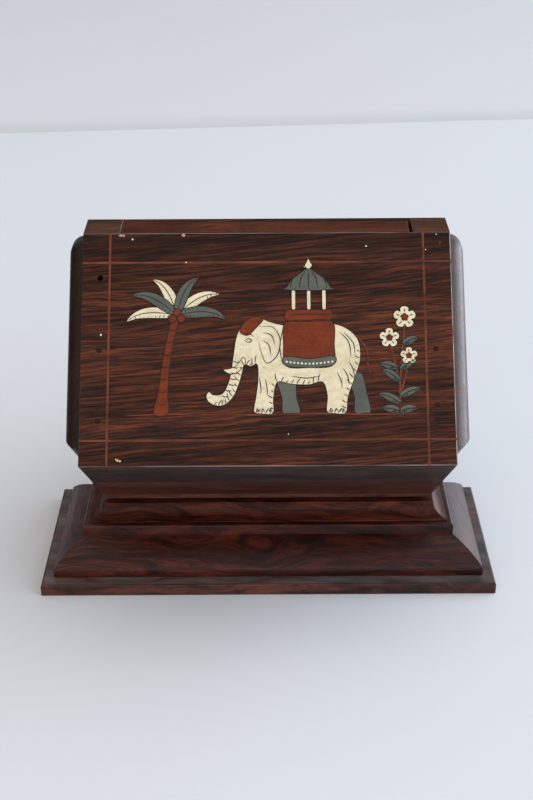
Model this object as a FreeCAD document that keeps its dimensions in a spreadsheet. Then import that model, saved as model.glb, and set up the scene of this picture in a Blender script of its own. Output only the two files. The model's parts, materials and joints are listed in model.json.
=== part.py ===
import FreeCAD, Part
import math
import operator
import os
import types
import Sketcher

# A rosewood music box: a square-section case that stands on its edge over a moulded base.
# Origin: middle of the base's underside. +Z is up, the inlaid front looks along -Y.

DRIVING_SIZES = {
    # Base, from the floor up
    "base_width": 150.0,
    "base_depth": 57.0,
    "plinth_height": 4.4,
    "plinth_round": 0.7,
    "ovolo_inset": 4.0,
    "ovolo_fillet": 3.2,
    "ovolo_depth": 9.4,
    "ovolo_rise": 7.3,
    "ovolo_radius": 26.0,
    "ovolo_collar": 3.8,
    "cove_inset": 1.9,
    "cove_fillet": 0.5,
    "cove_radius": 4.4,
    "quirk_height": 1.4,
    "quirk_inset": 2.0,
    "neck_setback": 0.5,
    "base_screw_spacing": 70.0,
    "base_screw_radius": 1.8,
    "base_screw_length": 36.0,
    "base_screw_head_radius": 3.6,
    "base_screw_head_height": 2.0,
    "base_screw_recess": 0.5,
    # Case
    "neck_collar": 1.6,
    "cradle_rise": 19.9,
    "waist_rise": 40.7,
    "waist_half_depth": 51.5,
    "roof_rise": 53.4,
    "top_half_depth": 5.7,
    "panel_thickness": 4.0,
    "lower_thickness": 5.0,
    "end_thickness": 10.0,
    "moulding_thickness": 4.9,
    "moulding_round": 4.3,
    "moulding_setback": 5.9,
    "moulding_drop": 4.0,
    "moulding_foot": 15.0,
    "moulding_corner": 4.8,
    # Inlaid lines and panel pins
    "stringing_width": 0.6,
    "stringing_depth": 0.8,
    "stringing_side": 8.2,
    "stringing_top": 9.2,
    "stringing_bottom": 7.7,
    "pin_radius": 0.85,
    "pin_length": 12.0,
    "pin_side": 5.4,
    "pin_row_foot": 13.4,
    "pin_row_low": 17.7,
    "pin_row_middle": 34.5,
    "pin_row_top": 56.5,
    # Lid, its pivot and the well under it
    "ridge_left_length": 11.05,
    "ridge_right_length": 11.1,
    "lid_left_gap": 0.15,
    "lid_right_gap": 0.95,
    "lid_seat_gap": 0.12,
    "lid_barrel_radius": 1.4,
    "lid_axis_depth": 2.6,
    "lid_clearance": 0.3,
    "lid_pin_radius": 0.6,
    "lid_pin_length": 7.0,
    "lid_pin_grip": 3.0,
    "pivot_clearance": 0.04,
    "slot_half_width": 4.2,
    "well_wall": 1.0,
    "well_depth": 21.0,
    "well_top_drop": 3.5,
    "well_right_space": 7.8,
    # Stop wire, moved by the lid
    "wire_radius": 0.7,
    "wire_end_space": 4.3,
    "wire_offset": 0.7,
    "wire_top_gap": 0.2,
    "wire_fly_gap": 0.15,
    "wire_tip_height": 7.5,
    "wire_tip_reach": 1.0,
    "guide_width": 4.0,
    "guide_height": 4.0,
    "guide_drop": 12.0,
    # Movement: plate, screws and winding
    "movement_rise": 28.0,
    "plate_left": 31.0,
    "plate_right": 34.0,
    "plate_down": 21.0,
    "plate_up": 21.0,
    "plate_thickness": 2.0,
    "mount_screw_radius": 1.2,
    "mount_screw_head_radius": 2.6,
    "mount_screw_head_height": 1.0,
    "mount_screw_side": 27.0,
    "mount_screw_height": 17.0,
    "barrel_offset": 17.0,
    "arbor_radius": 2.0,
    "arbor_end": 11.4,
    "bush_radius": 3.2,
    "bush_flange_radius": 5.0,
    "bush_flange_height": 0.8,
    "key_gap": 0.3,
    "key_hub_radius": 3.2,
    "key_hub_length": 8.0,
    "key_grip_length": 5.0,
    "key_wing_radius": 5.0,
    "key_wing_hole": 2.4,
    "key_wing_offset": 6.2,
    "key_wing_thickness": 1.6,
    "ratchet_gap": 0.4,
    "ratchet_thickness": 1.0,
    "ratchet_root": 4.0,
    "ratchet_tip": 5.2,
    "ratchet_teeth": 16,
    "click_reach": 8.5,
    "click_drop": 7.0,
    "click_boss_radius": 1.5,
    "click_pivot_radius": 0.8,
    "click_head_radius": 1.3,
    "click_head_height": 0.4,
    "click_tip_gap": 0.15,
    "click_tip_width": 0.8,
    "click_arm_half_width": 1.2,
    "click_notch_reach": 6.1,
    # Movement: spring barrel and crown teeth
    "barrel_start": 4.0,
    "barrel_radius": 11.7,
    "barrel_wall": 0.8,
    "barrel_height": 5.4,
    "barrel_lid": 1.0,
    "cover_thickness": 0.8,
    "spring_inner_radius": 4.5,
    "spring_gap": 0.3,
    "spring_end_gap": 0.1,
    "crown_teeth": 32,
    "crown_ring": 3.0,
    "crown_tooth_height": 1.4,
    "crown_tooth_width": 0.6,
    "crown_pitch_drop": 0.6,
    # Movement: cylinder and comb
    "pinion_teeth": 16,
    "pinion_width": 2.4,
    "tooth_addendum": 0.9,
    "tooth_dedendum": 1.4,
    "tooth_root_share": 0.5,
    "tooth_tip_share": 0.24,
    "shaft_radius": 1.0,
    "post_thickness": 2.0,
    "post_half_width": 3.0,
    "post_top": 3.2,
    "post_foot_length": 6.0,
    "post_foot_height": 1.5,
    "post_left": 4.0,
    "drum_start": 1.0,
    "drum_length": 22.0,
    "drum_radius": 6.5,
    "drum_pin_radius": 0.2,
    "drum_pin_height": 0.8,
    "drum_pin_root": 0.6,
    "comb_gap": 0.2,
    "comb_teeth": 18,
    "comb_tooth_width": 0.8,
    "comb_tooth_length": 6.4,
    "comb_back": 5.5,
    "comb_thickness": 1.0,
    "comb_screw_radius": 0.9,
    "comb_screw_length": 5.0,
    "comb_screw_head_radius": 1.7,
    "comb_screw_head_height": 1.1,
    "comb_screw_inset": 4.0,
    # Movement: train and governor
    "train_module": 0.5,
    "wheel_teeth": 30,
    "wheel_width": 1.5,
    "wheel_gap": 1.0,
    "post_gap": 1.5,
    "shaft_overhang": 0.3,
    "train_backlash": 0.1,
    "second_pinion_teeth": 10,
    "second_shaft_radius": 0.7,
    "worm_wheel_teeth": 20,
    "worm_wheel_width": 0.8,
    "worm_wheel_gap": 1.2,
    "worm_starts": 2,
    "worm_turns": 2,
    "worm_radius": 1.95,
    "worm_root_radius": 1.05,
    "worm_tip_gap": 0.15,
    "worm_shaft_radius": 0.6,
    "worm_thread_root": 0.3,
    "worm_thread_tip": 0.15,
    "fly_start": 4.2,
    "fly_height": 4.8,
    "fly_radius": 4.2,
    "fly_thickness": 0.4,
    "fly_hub_radius": 1.3,
    "cock_gap": 1.8,
    "cock_thickness": 1.6,
    "cock_half_width": 2.5,
    "cock_arm_gap": 0.5,
    "cock_arm_end": 1.8,
}

doc = FreeCAD.newDocument("MusicBox")
sheet = doc.addObject("Spreadsheet::Sheet", "Sizes")
for row, (alias, number) in enumerate(DRIVING_SIZES.items(), start=1):
    sheet.set(f"A{row}", alias)
    sheet.set(f"B{row}", str(number))
    sheet.setAlias(f"B{row}", alias)
doc.recompute()

OPERATIONS = {"+": operator.add, "-": operator.sub, "*": operator.mul, "/": operator.truediv}


class Formula:
    """A size worked out from the sheet: the text that binds it, and its value now."""

    def __init__(self, text, value):
        self.text = text
        self.value = value

    def __add__(self, other):
        return combine("+", self, other)

    def __radd__(self, other):
        return combine("+", other, self)

    def __sub__(self, other):
        return combine("-", self, other)

    def __rsub__(self, other):
        return combine("-", other, self)

    def __mul__(self, other):
        return combine("*", self, other)

    def __rmul__(self, other):
        return combine("*", other, self)

    def __truediv__(self, other):
        return combine("/", self, other)

    def __rtruediv__(self, other):
        return combine("/", other, self)

    def __neg__(self):
        return combine("-", 0, self)


def formula(item):
    """Any plain number as a formula."""
    if isinstance(item, Formula):
        return item
    return Formula(f"({item})", float(item))


def combine(sign, left, right):
    left = formula(left)
    right = formula(right)
    return Formula(f"({left.text} {sign} {right.text})", OPERATIONS[sign](left.value, right.value))


def root(item):
    return Formula(f"sqrt({item.text})", math.sqrt(item.value))


size = types.SimpleNamespace(
    **{alias: Formula(f"Sizes.{alias}", float(sheet.get(alias))) for alias in DRIVING_SIZES}
)

Vector = FreeCAD.Vector
X_AXIS = Vector(1, 0, 0)
Y_AXIS = Vector(0, 1, 0)
Z_AXIS = Vector(0, 0, 1)
ALONG_X = FreeCAD.Rotation(Y_AXIS, 90)
ALONG_Y = FreeCAD.Rotation(X_AXIS, -90)
ALONG_Z = FreeCAD.Rotation()
HERE = FreeCAD.Placement()
UP_SLOPE = 90
DOWN_SLOPE = 270
TOUCH = 0.01

sub_parts = []


def bind(feature, **sizes):
    for name, item in sizes.items():
        feature.setExpression(name, formula(item).text)


def place(feature, position, rotation=ALONG_Z):
    """Turn a feature, and bind the three coordinates of its corner or axis point."""
    feature.Placement = FreeCAD.Placement(Vector(), rotation)
    for axis, item in zip("xyz", position):
        feature.setExpression(f"Placement.Base.{axis}", formula(item).text)


def box(name, corner, extent):
    feature = doc.addObject("Part::Box", name)
    bind(feature, Length=extent[0], Width=extent[1], Height=extent[2])
    place(feature, corner)
    return feature


def cylinder(name, start, radius, length, rotation=ALONG_Z):
    feature = doc.addObject("Part::Cylinder", name)
    bind(feature, Radius=radius, Height=length)
    place(feature, start, rotation)
    return feature


def cone(name, start, radius_start, radius_end, length):
    feature = doc.addObject("Part::Cone", name)
    bind(feature, Radius1=radius_start, Radius2=radius_end, Height=length)
    place(feature, start)
    return feature


def fuse(name, features):
    feature = doc.addObject("Part::MultiFuse", name)
    feature.Shapes = features
    return feature


def cut(name, base, tool):
    feature = doc.addObject("Part::Cut", name)
    feature.Base = base
    feature.Tool = tool
    return feature


def common(name, first, second):
    feature = doc.addObject("Part::MultiCommon", name)
    feature.Shapes = [first, second]
    return feature


def group(name, features):
    feature = doc.addObject("Part::Compound", name)
    feature.Links = features
    return feature


def sub_part(label, feature, placement=HERE):
    """Name a finished piece, and set it in the frame it belongs to."""
    feature.Label = label
    if not placement.isSame(HERE, 0.0):
        feature.Placement = placement
    sub_parts.append(feature)
    return feature


def origin_plane(body, role):
    return next(item for item in body.Origin.OriginFeatures if item.Role == role)


def new_sketch(body, name, role):
    sketch = body.newObject("Sketcher::SketchObject", name)
    sketch.AttachmentSupport = [(origin_plane(body, role), "")]
    sketch.MapMode = "FlatFace"
    return sketch


def arc_middle(start, end, radius, bend):
    """The point half way round an arc that bulges to the right of its chord (bend 1) or to the left (-1)."""
    chord = end - start
    half = chord.Length / 2
    sagitta = radius - math.sqrt(radius * radius - half * half)
    right = Vector(chord.y, -chord.x, 0).normalize()
    return (start + end) * 0.5 + right * sagitta * bend


def draw_outline(sketch, corners):
    """A closed outline. A corner is (across, up), or (across, up, radius, bend) where an arc leads to it."""
    points = [Vector(formula(corner[0]).value, formula(corner[1]).value, 0) for corner in corners]
    starts = []
    ends = []
    for index, corner in enumerate(corners):
        first = points[index - 1]
        last = points[index]
        if len(corner) > 2:
            middle = arc_middle(first, last, corner[2].value, corner[3])
            edge = sketch.addGeometry(Part.Arc(first, middle, last))
            gap_at_start, gap_at_end = (sketch.getPoint(edge, end).distanceToPoint(first) for end in (1, 2))
            turned = gap_at_start > gap_at_end
        else:
            edge = sketch.addGeometry(Part.LineSegment(first, last))
            turned = False
        starts.append((edge, 2 if turned else 1))
        ends.append((edge, 1 if turned else 2))
    for index, corner in enumerate(corners):
        following = starts[(index + 1) % len(corners)]
        sketch.addConstraint(Sketcher.Constraint("Coincident", *ends[index], *following))
        for kind, item in zip(("DistanceX", "DistanceY"), corner):
            item = formula(item)
            row = sketch.addConstraint(Sketcher.Constraint(kind, -1, 1, *ends[index], item.value))
            sketch.setExpression(f"Constraints[{row}]", item.text)
        if len(corner) > 2:
            row = sketch.addConstraint(Sketcher.Constraint("Radius", ends[index][0], corner[2].value))
            sketch.setExpression(f"Constraints[{row}]", corner[2].text)


def draw_circle(sketch, radius):
    edge = sketch.addGeometry(Part.Circle(Vector(), Z_AXIS, radius.value))
    sketch.addConstraint(Sketcher.Constraint("Coincident", edge, 3, -1, 1))
    row = sketch.addConstraint(Sketcher.Constraint("Radius", edge, radius.value))
    sketch.setExpression(f"Constraints[{row}]", radius.text)


def pad(body, name, sketch, length, both_ways=False):
    feature = body.newObject("PartDesign::Pad", name)
    feature.Profile = sketch
    bind(feature, Length=length)
    if both_ways:
        feature.SideType = "Symmetric"
    return feature


def prism(name, role, corners, length, both_ways=True):
    """A body padded square to an origin plane: YZ for case sections, XZ for base ends, XY for flats."""
    body = doc.addObject("PartDesign::Body", name)
    sketch = new_sketch(body, f"{name}_outline", role)
    draw_outline(sketch, corners)
    pad(body, f"{name}_pad", sketch, length, both_ways)
    return body


def mirrored(corners):
    """A half outline, from its foot to its top on the right, closed by its mirror image on the left."""
    left = []
    for index in range(len(corners) - 1, -1, -1):
        across, up = corners[index][:2]
        arc = corners[index + 1][2:] if index + 1 < len(corners) else ()
        left.append((-across, up, *arc))
    return list(corners) + left


# Heights of the base's boards, and the insets of their edges from the plinth's edge
ovolo_foot = size.plinth_height
ovolo_start = ovolo_foot + size.ovolo_fillet
ovolo_end = ovolo_start + size.ovolo_rise
cove_foot = ovolo_end + size.ovolo_collar
cove_start = cove_foot + size.cove_fillet
cove_end = cove_start + size.cove_radius
case_foot = cove_end + size.quirk_height
collar_inset = size.ovolo_inset + size.ovolo_depth
cove_foot_inset = collar_inset + size.cove_inset
cove_top_inset = cove_foot_inset + size.cove_radius
neck_inset = cove_top_inset + size.neck_setback

# Corner points of the case's section, at its front and back
case_half_width = size.base_width / 2 - neck_inset
case_width = case_half_width * 2
neck_half_depth = size.base_depth / 2 - neck_inset
neck_height = case_foot + size.neck_collar
cradle_height = case_foot + size.cradle_rise
waist_height = case_foot + size.waist_rise
top_height = waist_height + size.roof_rise
slope_run = size.waist_half_depth - size.top_half_depth
slope_length = root(slope_run * slope_run + size.roof_rise * size.roof_rise)
lean_sin = slope_run / slope_length
lean_cos = size.roof_rise / slope_length
lean_angle = math.degrees(math.atan2(slope_run.value, size.roof_rise.value))
panel_in = size.panel_thickness * lean_cos
panel_down = size.panel_thickness * lean_sin
waist_inner_depth = size.waist_half_depth - panel_in
waist_inner_height = waist_height - panel_down
ridge_inner_depth = size.top_half_depth - panel_in
ridge_inner_height = top_height - panel_down
lower_run = waist_inner_depth - neck_half_depth
lower_rise = waist_inner_height - neck_height
lower_length = root(lower_run * lower_run + lower_rise * lower_rise)
cradle_half_depth = neck_half_depth + (cradle_height - neck_height) * lower_run / lower_rise
lower_level_width = size.lower_thickness * lower_length / lower_rise
moulding_top = top_height - size.moulding_drop
well_corner_depth = waist_inner_depth - size.lower_thickness * lean_sin
well_corner_height = waist_inner_height + size.lower_thickness * lean_cos

# Frames of the sloping panels: X across, Y up the slope from the waist, Z out of the panel
front_frame = FreeCAD.Placement(
    Vector(0, -size.waist_half_depth.value, waist_height.value), FreeCAD.Rotation(X_AXIS, 90 - lean_angle)
)
back_frame = FreeCAD.Placement(Vector(), FreeCAD.Rotation(Z_AXIS, 180)).multiply(front_frame)

# Frame of the movement, on the back panel's inside: X across, Y up the slope, Z into the case
movement_frame = FreeCAD.Placement(
    Vector(
        0,
        (waist_inner_depth - size.movement_rise * lean_sin).value,
        (waist_inner_height + size.movement_rise * lean_cos).value,
    ),
    FreeCAD.Rotation(X_AXIS, 90 + lean_angle),
)


def base_profile(half_size, inset_corners):
    """Half of a base board's section: its corners' insets are taken from half of the plinth's size."""
    return mirrored([(half_size - corner[0], *corner[1:]) for corner in inset_corners])


def moulded_board(label, inset_corners):
    """A board with one moulding round all four sides, mitred at the corners."""
    long_section = base_profile(size.base_depth / 2, inset_corners)
    cross_section = base_profile(size.base_width / 2, inset_corners)
    long_way = prism(f"{label}_long", "YZ_Plane", long_section, size.base_width)
    cross_way = prism(f"{label}_cross", "XZ_Plane", cross_section, size.base_depth)
    return common(f"{label}_blank", long_way, cross_way)


def base_screws():
    """Two countersunk screws that hold the base's boards to the neck, heads sunk under the plinth."""
    screws = []
    for side in (-1, 1):
        across = size.base_screw_spacing / 2 * side
        head = cone(
            f"screw_head_{side}", (across, 0, size.base_screw_recess), size.base_screw_head_radius,
            size.base_screw_radius, size.base_screw_head_height,
        )
        shank = cylinder(
            f"screw_shank_{side}", (across, 0, size.base_screw_recess), size.base_screw_radius,
            size.base_screw_length,
        )
        screws.append(fuse(f"screw_{side}", [head, shank]))
    return sub_part("base_screws", group("base_screw_group", screws))


def screw_mouths():
    """The short countersinks below the screw heads."""
    return [
        cylinder(
            f"screw_mouth_{side}", (size.base_screw_spacing / 2 * side, 0, 0), size.base_screw_head_radius,
            size.base_screw_recess,
        )
        for side in (-1, 1)
    ]


def base_boards():
    screws = base_screws()
    plinth_round = size.plinth_round
    plinth = moulded_board(
        "plinth",
        [(0, 0), (0, size.plinth_height - plinth_round), (plinth_round, size.plinth_height, plinth_round, 1)],
    )
    holes = fuse("plinth_holes", [screws, *screw_mouths()])
    sub_part("plinth_board", cut("plinth_cut", plinth, holes))
    ovolo = moulded_board(
        "ovolo",
        [
            (size.ovolo_inset, ovolo_foot),
            (size.ovolo_inset, ovolo_start),
            (collar_inset, ovolo_end, size.ovolo_radius, 1),
            (collar_inset, cove_foot),
        ],
    )
    sub_part("ovolo_board", cut("ovolo_cut", ovolo, screws))
    cove = moulded_board(
        "cove",
        [
            (cove_foot_inset, cove_foot),
            (cove_foot_inset, cove_start),
            (cove_top_inset, cove_end, size.cove_radius, -1),
        ],
    )
    sub_part("cove_board", cut("cove_cut", cove, screws))
    wedge_corners = [
        (neck_half_depth, case_foot),
        (neck_half_depth, neck_height),
        (cradle_half_depth, cradle_height),
    ]
    wedge = prism("neck_wedge", "YZ_Plane", mirrored(wedge_corners), case_width)
    tongue = box(
        "neck_tongue",
        (size.quirk_inset - case_half_width, size.quirk_inset - neck_half_depth, cove_end),
        (case_width - size.quirk_inset * 2, (neck_half_depth - size.quirk_inset) * 2, size.quirk_height),
    )
    sub_part("neck_block", cut("neck_cut", fuse("neck_blank", [wedge, tongue]), screws))


def panel_corners(side):
    """Section of a sloping upper panel, square at both ends: side -1 is the front, 1 the back."""
    return [
        (side * size.waist_half_depth, waist_height),
        (side * size.top_half_depth, top_height),
        (side * ridge_inner_depth, ridge_inner_height),
        (side * waist_inner_depth, waist_inner_height),
    ]


def lower_corners(side):
    """Section of a lower board, from the neck block's top up to the inside of the upper panel."""
    return [
        (side * waist_inner_depth, waist_inner_height),
        (side * cradle_half_depth, cradle_height),
        (side * (cradle_half_depth - lower_level_width), cradle_height),
        (side * well_corner_depth, well_corner_height),
    ]


def stringing():
    """Four pale lines let into the front panel, from edge to edge."""
    width = size.stringing_width
    strips = []
    for side in (-1, 1):
        across = (case_half_width - size.stringing_side) * side
        strips.append(
            box(
                f"upright_line_{side}",
                (across - width / 2, 0, -size.stringing_depth),
                (width, slope_length, size.stringing_depth),
            )
        )
    for name, height in (("low", size.stringing_bottom), ("high", slope_length - size.stringing_top)):
        strips.append(
            box(
                f"level_line_{name}",
                (-case_half_width, height - width / 2, -size.stringing_depth),
                (case_width, width, size.stringing_depth),
            )
        )
    return sub_part("border_stringing", fuse("stringing_fuse", strips), front_frame)


PIN_ROWS = ("foot", "low", "middle", "top")
EMPTY_PIN_HOLE = ("front", -1, "top")


def panel_pins(face, frame):
    """The pins of one panel, and the tool for all of its holes: one hole at the front has lost its pin."""
    pins = []
    holes = []
    for side in (-1, 1):
        for row in PIN_ROWS:
            pin = cylinder(
                f"{face}_pin_{row}_{side}",
                ((case_half_width - size.pin_side) * side, getattr(size, f"pin_row_{row}"), -size.pin_length),
                size.pin_radius,
                size.pin_length,
            )
            holes.append(pin)
            if (face, side, row) != EMPTY_PIN_HOLE:
                pins.append(pin)
    pin_group = group(f"{face}_pins", pins)
    pin_group.Placement = frame
    hole_group = group(f"{face}_pin_holes", holes)
    hole_group.Placement = frame
    return pin_group, hole_group


lid_axis_height = top_height - size.lid_barrel_radius
slot_start = size.ridge_left_length - case_half_width
slot_end = case_half_width - size.ridge_right_length
end_board_face = case_half_width - size.end_thickness
well_top = top_height - size.well_top_drop
well_foot = well_top - size.well_depth


def slot_tool():
    """The straight slot that the well drops through, between the two end boards."""
    height = size.well_top_drop + size.panel_thickness * 2
    return box(
        "slot_space",
        (-end_board_face, -size.slot_half_width, top_height - height),
        (end_board_face * 2, size.slot_half_width * 2, height),
    )


def lid_groove():
    """Room behind the lid for its round back edge to turn."""
    return cylinder(
        "lid_groove",
        (slot_start, size.lid_axis_depth, lid_axis_height),
        size.lid_barrel_radius + size.lid_clearance,
        slot_end - slot_start,
        ALONG_X,
    )


def case_panels(lines, slot, front_holes, back_holes, back_fittings):
    front = prism("front_panel_blank", "YZ_Plane", panel_corners(-1), case_width)
    front_cuts = fuse("front_cuts", [lines, slot, front_holes])
    sub_part("front_panel", cut("front_panel_cut", front, front_cuts))
    back = prism("back_panel_blank", "YZ_Plane", panel_corners(1), case_width)
    back_cuts = fuse("back_cuts", [slot, lid_groove(), back_holes, *back_fittings])
    sub_part("back_panel", cut("back_panel_cut", back, back_cuts))
    sub_part("lower_front_board", prism("lower_front", "YZ_Plane", lower_corners(-1), case_width))
    sub_part("lower_back_board", prism("lower_back", "YZ_Plane", lower_corners(1), case_width))


def end_boards(pin_holes):
    """Two thick end boards that fill the section inside the panels and the lower boards."""
    corners = mirrored(
        [
            (cradle_half_depth - lower_level_width, cradle_height),
            (well_corner_depth, well_corner_height),
            (ridge_inner_depth, ridge_inner_height),
        ]
    )
    for name, side in (("left", -1), ("right", 1)):
        board = prism(f"{name}_end_blank", "YZ_Plane", corners, size.end_thickness)
        place(board, ((case_half_width - size.end_thickness / 2) * side, 0, 0))
        sub_part(f"{name}_end_board", cut(f"{name}_end_cut", board, pin_holes))


def end_mouldings():
    """Rounded caps on the ends: the panels overlap them, and they are set back from the lower boards."""
    shoulder_depth = waist_inner_depth - size.moulding_setback * lean_sin
    shoulder_height = waist_inner_height + size.moulding_setback * lean_cos
    crest_depth = ridge_inner_depth + (ridge_inner_height - moulding_top) * slope_run / size.roof_rise
    foot_height = case_foot + size.moulding_foot
    foot_depth = shoulder_depth - (shoulder_height - foot_height) * lower_run / lower_rise
    corners = mirrored(
        [
            (foot_depth, foot_height),
            (shoulder_depth, shoulder_height),
            (crest_depth, moulding_top),
        ]
    )
    for name, side in (("left", -1), ("right", 1)):
        body = prism(f"{name}_moulding", "YZ_Plane", corners, size.moulding_thickness)
        place(body, ((case_half_width + size.moulding_thickness / 2) * side, 0, 0))
        doc.recompute()
        blank = body.Tip
        round_top_corners(body, blank)
        doc.recompute()
        round_outer_edges(body, body.Tip, side)
        sub_part(f"{name}_end_moulding", body)


def edge_names(feature, wanted):
    return [f"Edge{number}" for number, edge in enumerate(feature.Shape.Edges, start=1) if wanted(edge)]


def add_fillet(body, blank, names, radius):
    feature = body.newObject("PartDesign::Fillet", f"{body.Name}_round")
    feature.Base = (blank, names)
    bind(feature, Radius=radius)
    body.Tip = feature


def round_top_corners(body, blank):
    """Round the two upper corners of an end cap, as seen from its end."""
    top = moulding_top.value

    def at_top_corner(edge):
        ends = [vertex.Point for vertex in edge.Vertexes]
        level = all(abs(point.z - top) < TOUCH for point in ends)
        return level and abs(ends[0].x - ends[1].x) > TOUCH

    add_fillet(body, blank, edge_names(blank, at_top_corner), size.moulding_corner)


def round_outer_edges(body, blank, side):
    """Round the whole outer edge of an end cap."""
    outer = size.moulding_thickness.value / 2 * side

    def on_outer_face(edge):
        return all(abs(vertex.Point.x - outer) < TOUCH for vertex in edge.Vertexes)

    add_fillet(body, blank, edge_names(blank, on_outer_face), size.moulding_round)


def ridge_blocks(pin_holes):
    """Two fixed blocks that close the top beside the lid."""
    corners = mirrored([(ridge_inner_depth, ridge_inner_height), (size.top_half_depth, top_height)])
    for name, start, length in (
        ("left", -case_half_width, size.ridge_left_length),
        ("right", slot_end, size.ridge_right_length),
    ):
        block = prism(f"{name}_ridge_blank", "YZ_Plane", corners, length, both_ways=False)
        place(block, (start, 0, 0))
        sub_part(f"{name}_ridge_block", cut(f"{name}_ridge_cut", block, pin_holes[name]))


lid_start = slot_start + size.lid_left_gap
lid_end = slot_end - size.lid_right_gap
lid_underside = lid_axis_height - size.lid_barrel_radius


def lid_and_pins():
    """The lid strip: a knife edge at the front, a round back edge, and a pin at each end of it."""
    seat_rise = size.lid_seat_gap / lean_cos
    nose_depth = size.top_half_depth - seat_rise
    under_run = (top_height - lid_underside) * lean_cos / lean_sin
    corners = [
        (size.lid_axis_depth, lid_underside),
        (size.lid_axis_depth + size.lid_barrel_radius, lid_axis_height, size.lid_barrel_radius, 1),
        (size.lid_axis_depth, top_height, size.lid_barrel_radius, 1),
        (-nose_depth, top_height),
        (under_run - nose_depth, lid_underside),
    ]
    strip = prism("lid_blank", "YZ_Plane", corners, lid_end - lid_start, both_ways=False)
    place(strip, (lid_start, 0, 0))
    reach = size.lid_pin_length
    left_start = lid_start + size.lid_pin_grip - reach
    right_start = lid_end - size.lid_pin_grip
    pins = []
    bores = {}
    for name, start in (("left", left_start), ("right", right_start)):
        axis_point = (start, size.lid_axis_depth, lid_axis_height)
        pins.append(cylinder(f"lid_pin_{name}", axis_point, size.lid_pin_radius, reach, ALONG_X))
        bore_point = (start - size.lid_clearance, size.lid_axis_depth, lid_axis_height)
        bore_length = reach + size.lid_clearance * 2
        bores[name] = cylinder(
            f"lid_bore_{name}", bore_point, size.lid_pin_radius + size.pivot_clearance, bore_length, ALONG_X
        )
    pin_group = sub_part("lid_pins", group("lid_pin_group", pins))
    sub_part("lid", cut("lid_cut", strip, pin_group))
    return bores


def well_liner():
    """A thin wooden trough under the lid."""
    half = size.slot_half_width
    wall = size.well_wall
    length = end_board_face * 2 - size.well_right_space
    outer = box("well_outer", (-end_board_face, -half, well_foot), (length, half * 2, size.well_depth))
    hollow = box(
        "well_hollow",
        (wall - end_board_face, wall - half, well_foot + wall),
        (length - wall * 2, (half - wall) * 2, size.well_depth),
    )
    sub_part("well_liner", cut("well_cut", outer, hollow))


# Bearing holes of the movement
arbor_bore = size.arbor_radius + size.pivot_clearance
drum_shaft_bore = size.shaft_radius + size.pivot_clearance
second_shaft_bore = size.second_shaft_radius + size.pivot_clearance
worm_shaft_bore = size.worm_shaft_radius + size.pivot_clearance

# Places in the movement's frame, from the bedplate up
barrel_across = -size.barrel_offset
plate_top = size.plate_thickness
ratchet_base = plate_top + size.ratchet_gap
barrel_top = size.barrel_start + size.barrel_height
crown_radius = size.barrel_radius - size.crown_ring / 2
pinion_module = crown_radius * 2 / size.crown_teeth
pinion_radius = pinion_module * size.pinion_teeth / 2
crown_pitch_level = barrel_top + size.crown_tooth_height - size.crown_pitch_drop
axle_level = crown_pitch_level + pinion_radius
pinion_start = barrel_across + crown_radius - size.pinion_width / 2
drum_end = size.drum_length - size.drum_start
wheel_start = drum_end + size.wheel_gap
right_post_start = wheel_start + size.wheel_width + size.post_gap
wheel_radius = size.train_module * size.wheel_teeth / 2
second_radius = size.train_module * size.second_pinion_teeth / 2
second_up = wheel_radius + second_radius + size.train_backlash
worm_wheel_start = right_post_start + size.post_thickness + size.worm_wheel_gap
worm_wheel_radius = size.train_module * size.worm_wheel_teeth / 2
worm_across = worm_wheel_start + size.worm_wheel_width / 2
worm_wheel_tip = worm_wheel_radius + size.train_module * size.tooth_addendum
worm_up = second_up + worm_wheel_tip + size.worm_root_radius + size.worm_tip_gap
worm_lead = size.train_module * math.pi * size.worm_starts
worm_length = worm_lead * (size.worm_turns + 1)
cock_start = worm_wheel_start + size.worm_wheel_width + size.cock_gap
cock_arm_level = axle_level + worm_wheel_tip + size.cock_arm_gap
cock_top = cock_arm_level + size.cock_thickness


def in_movement(position, turn=0.0, along_x=False):
    """A gear's place in the movement, turned on its own axis and laid along X if its shaft runs so."""
    spot = FreeCAD.Placement(Vector(*[formula(item).value for item in position]), FreeCAD.Rotation())
    lay = FreeCAD.Placement(Vector(), ALONG_X if along_x else ALONG_Z)
    spin = FreeCAD.Placement(Vector(), FreeCAD.Rotation(Z_AXIS, turn))
    return movement_frame.multiply(spot).multiply(lay).multiply(spin)


def toothed_ring(name, bore, rim, thickness, tooth, teeth, tooth_length=None, tooth_base=None):
    """A ring with one tooth drawn at angle 0, repeated round its axis."""
    body = doc.addObject("PartDesign::Body", name)
    ring = new_sketch(body, f"{name}_ring", "XY_Plane")
    draw_circle(ring, rim)
    draw_circle(ring, bore)
    pad(body, f"{name}_ring_pad", ring, thickness)
    tooth_sketch = new_sketch(body, f"{name}_tooth", "XY_Plane")
    draw_outline(tooth_sketch, tooth)
    if tooth_base is not None:
        tooth_sketch.setExpression("AttachmentOffset.Base.z", tooth_base.text)
    tooth_pad = pad(body, f"{name}_tooth_pad", tooth_sketch, tooth_length or thickness)
    pattern = body.newObject("PartDesign::PolarPattern", f"{name}_teeth")
    pattern.Originals = [tooth_pad]
    pattern.Axis = (tooth_sketch, ["N_Axis"])
    pattern.Angle = 360
    bind(pattern, Occurrences=teeth)
    body.Tip = pattern
    return body


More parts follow.
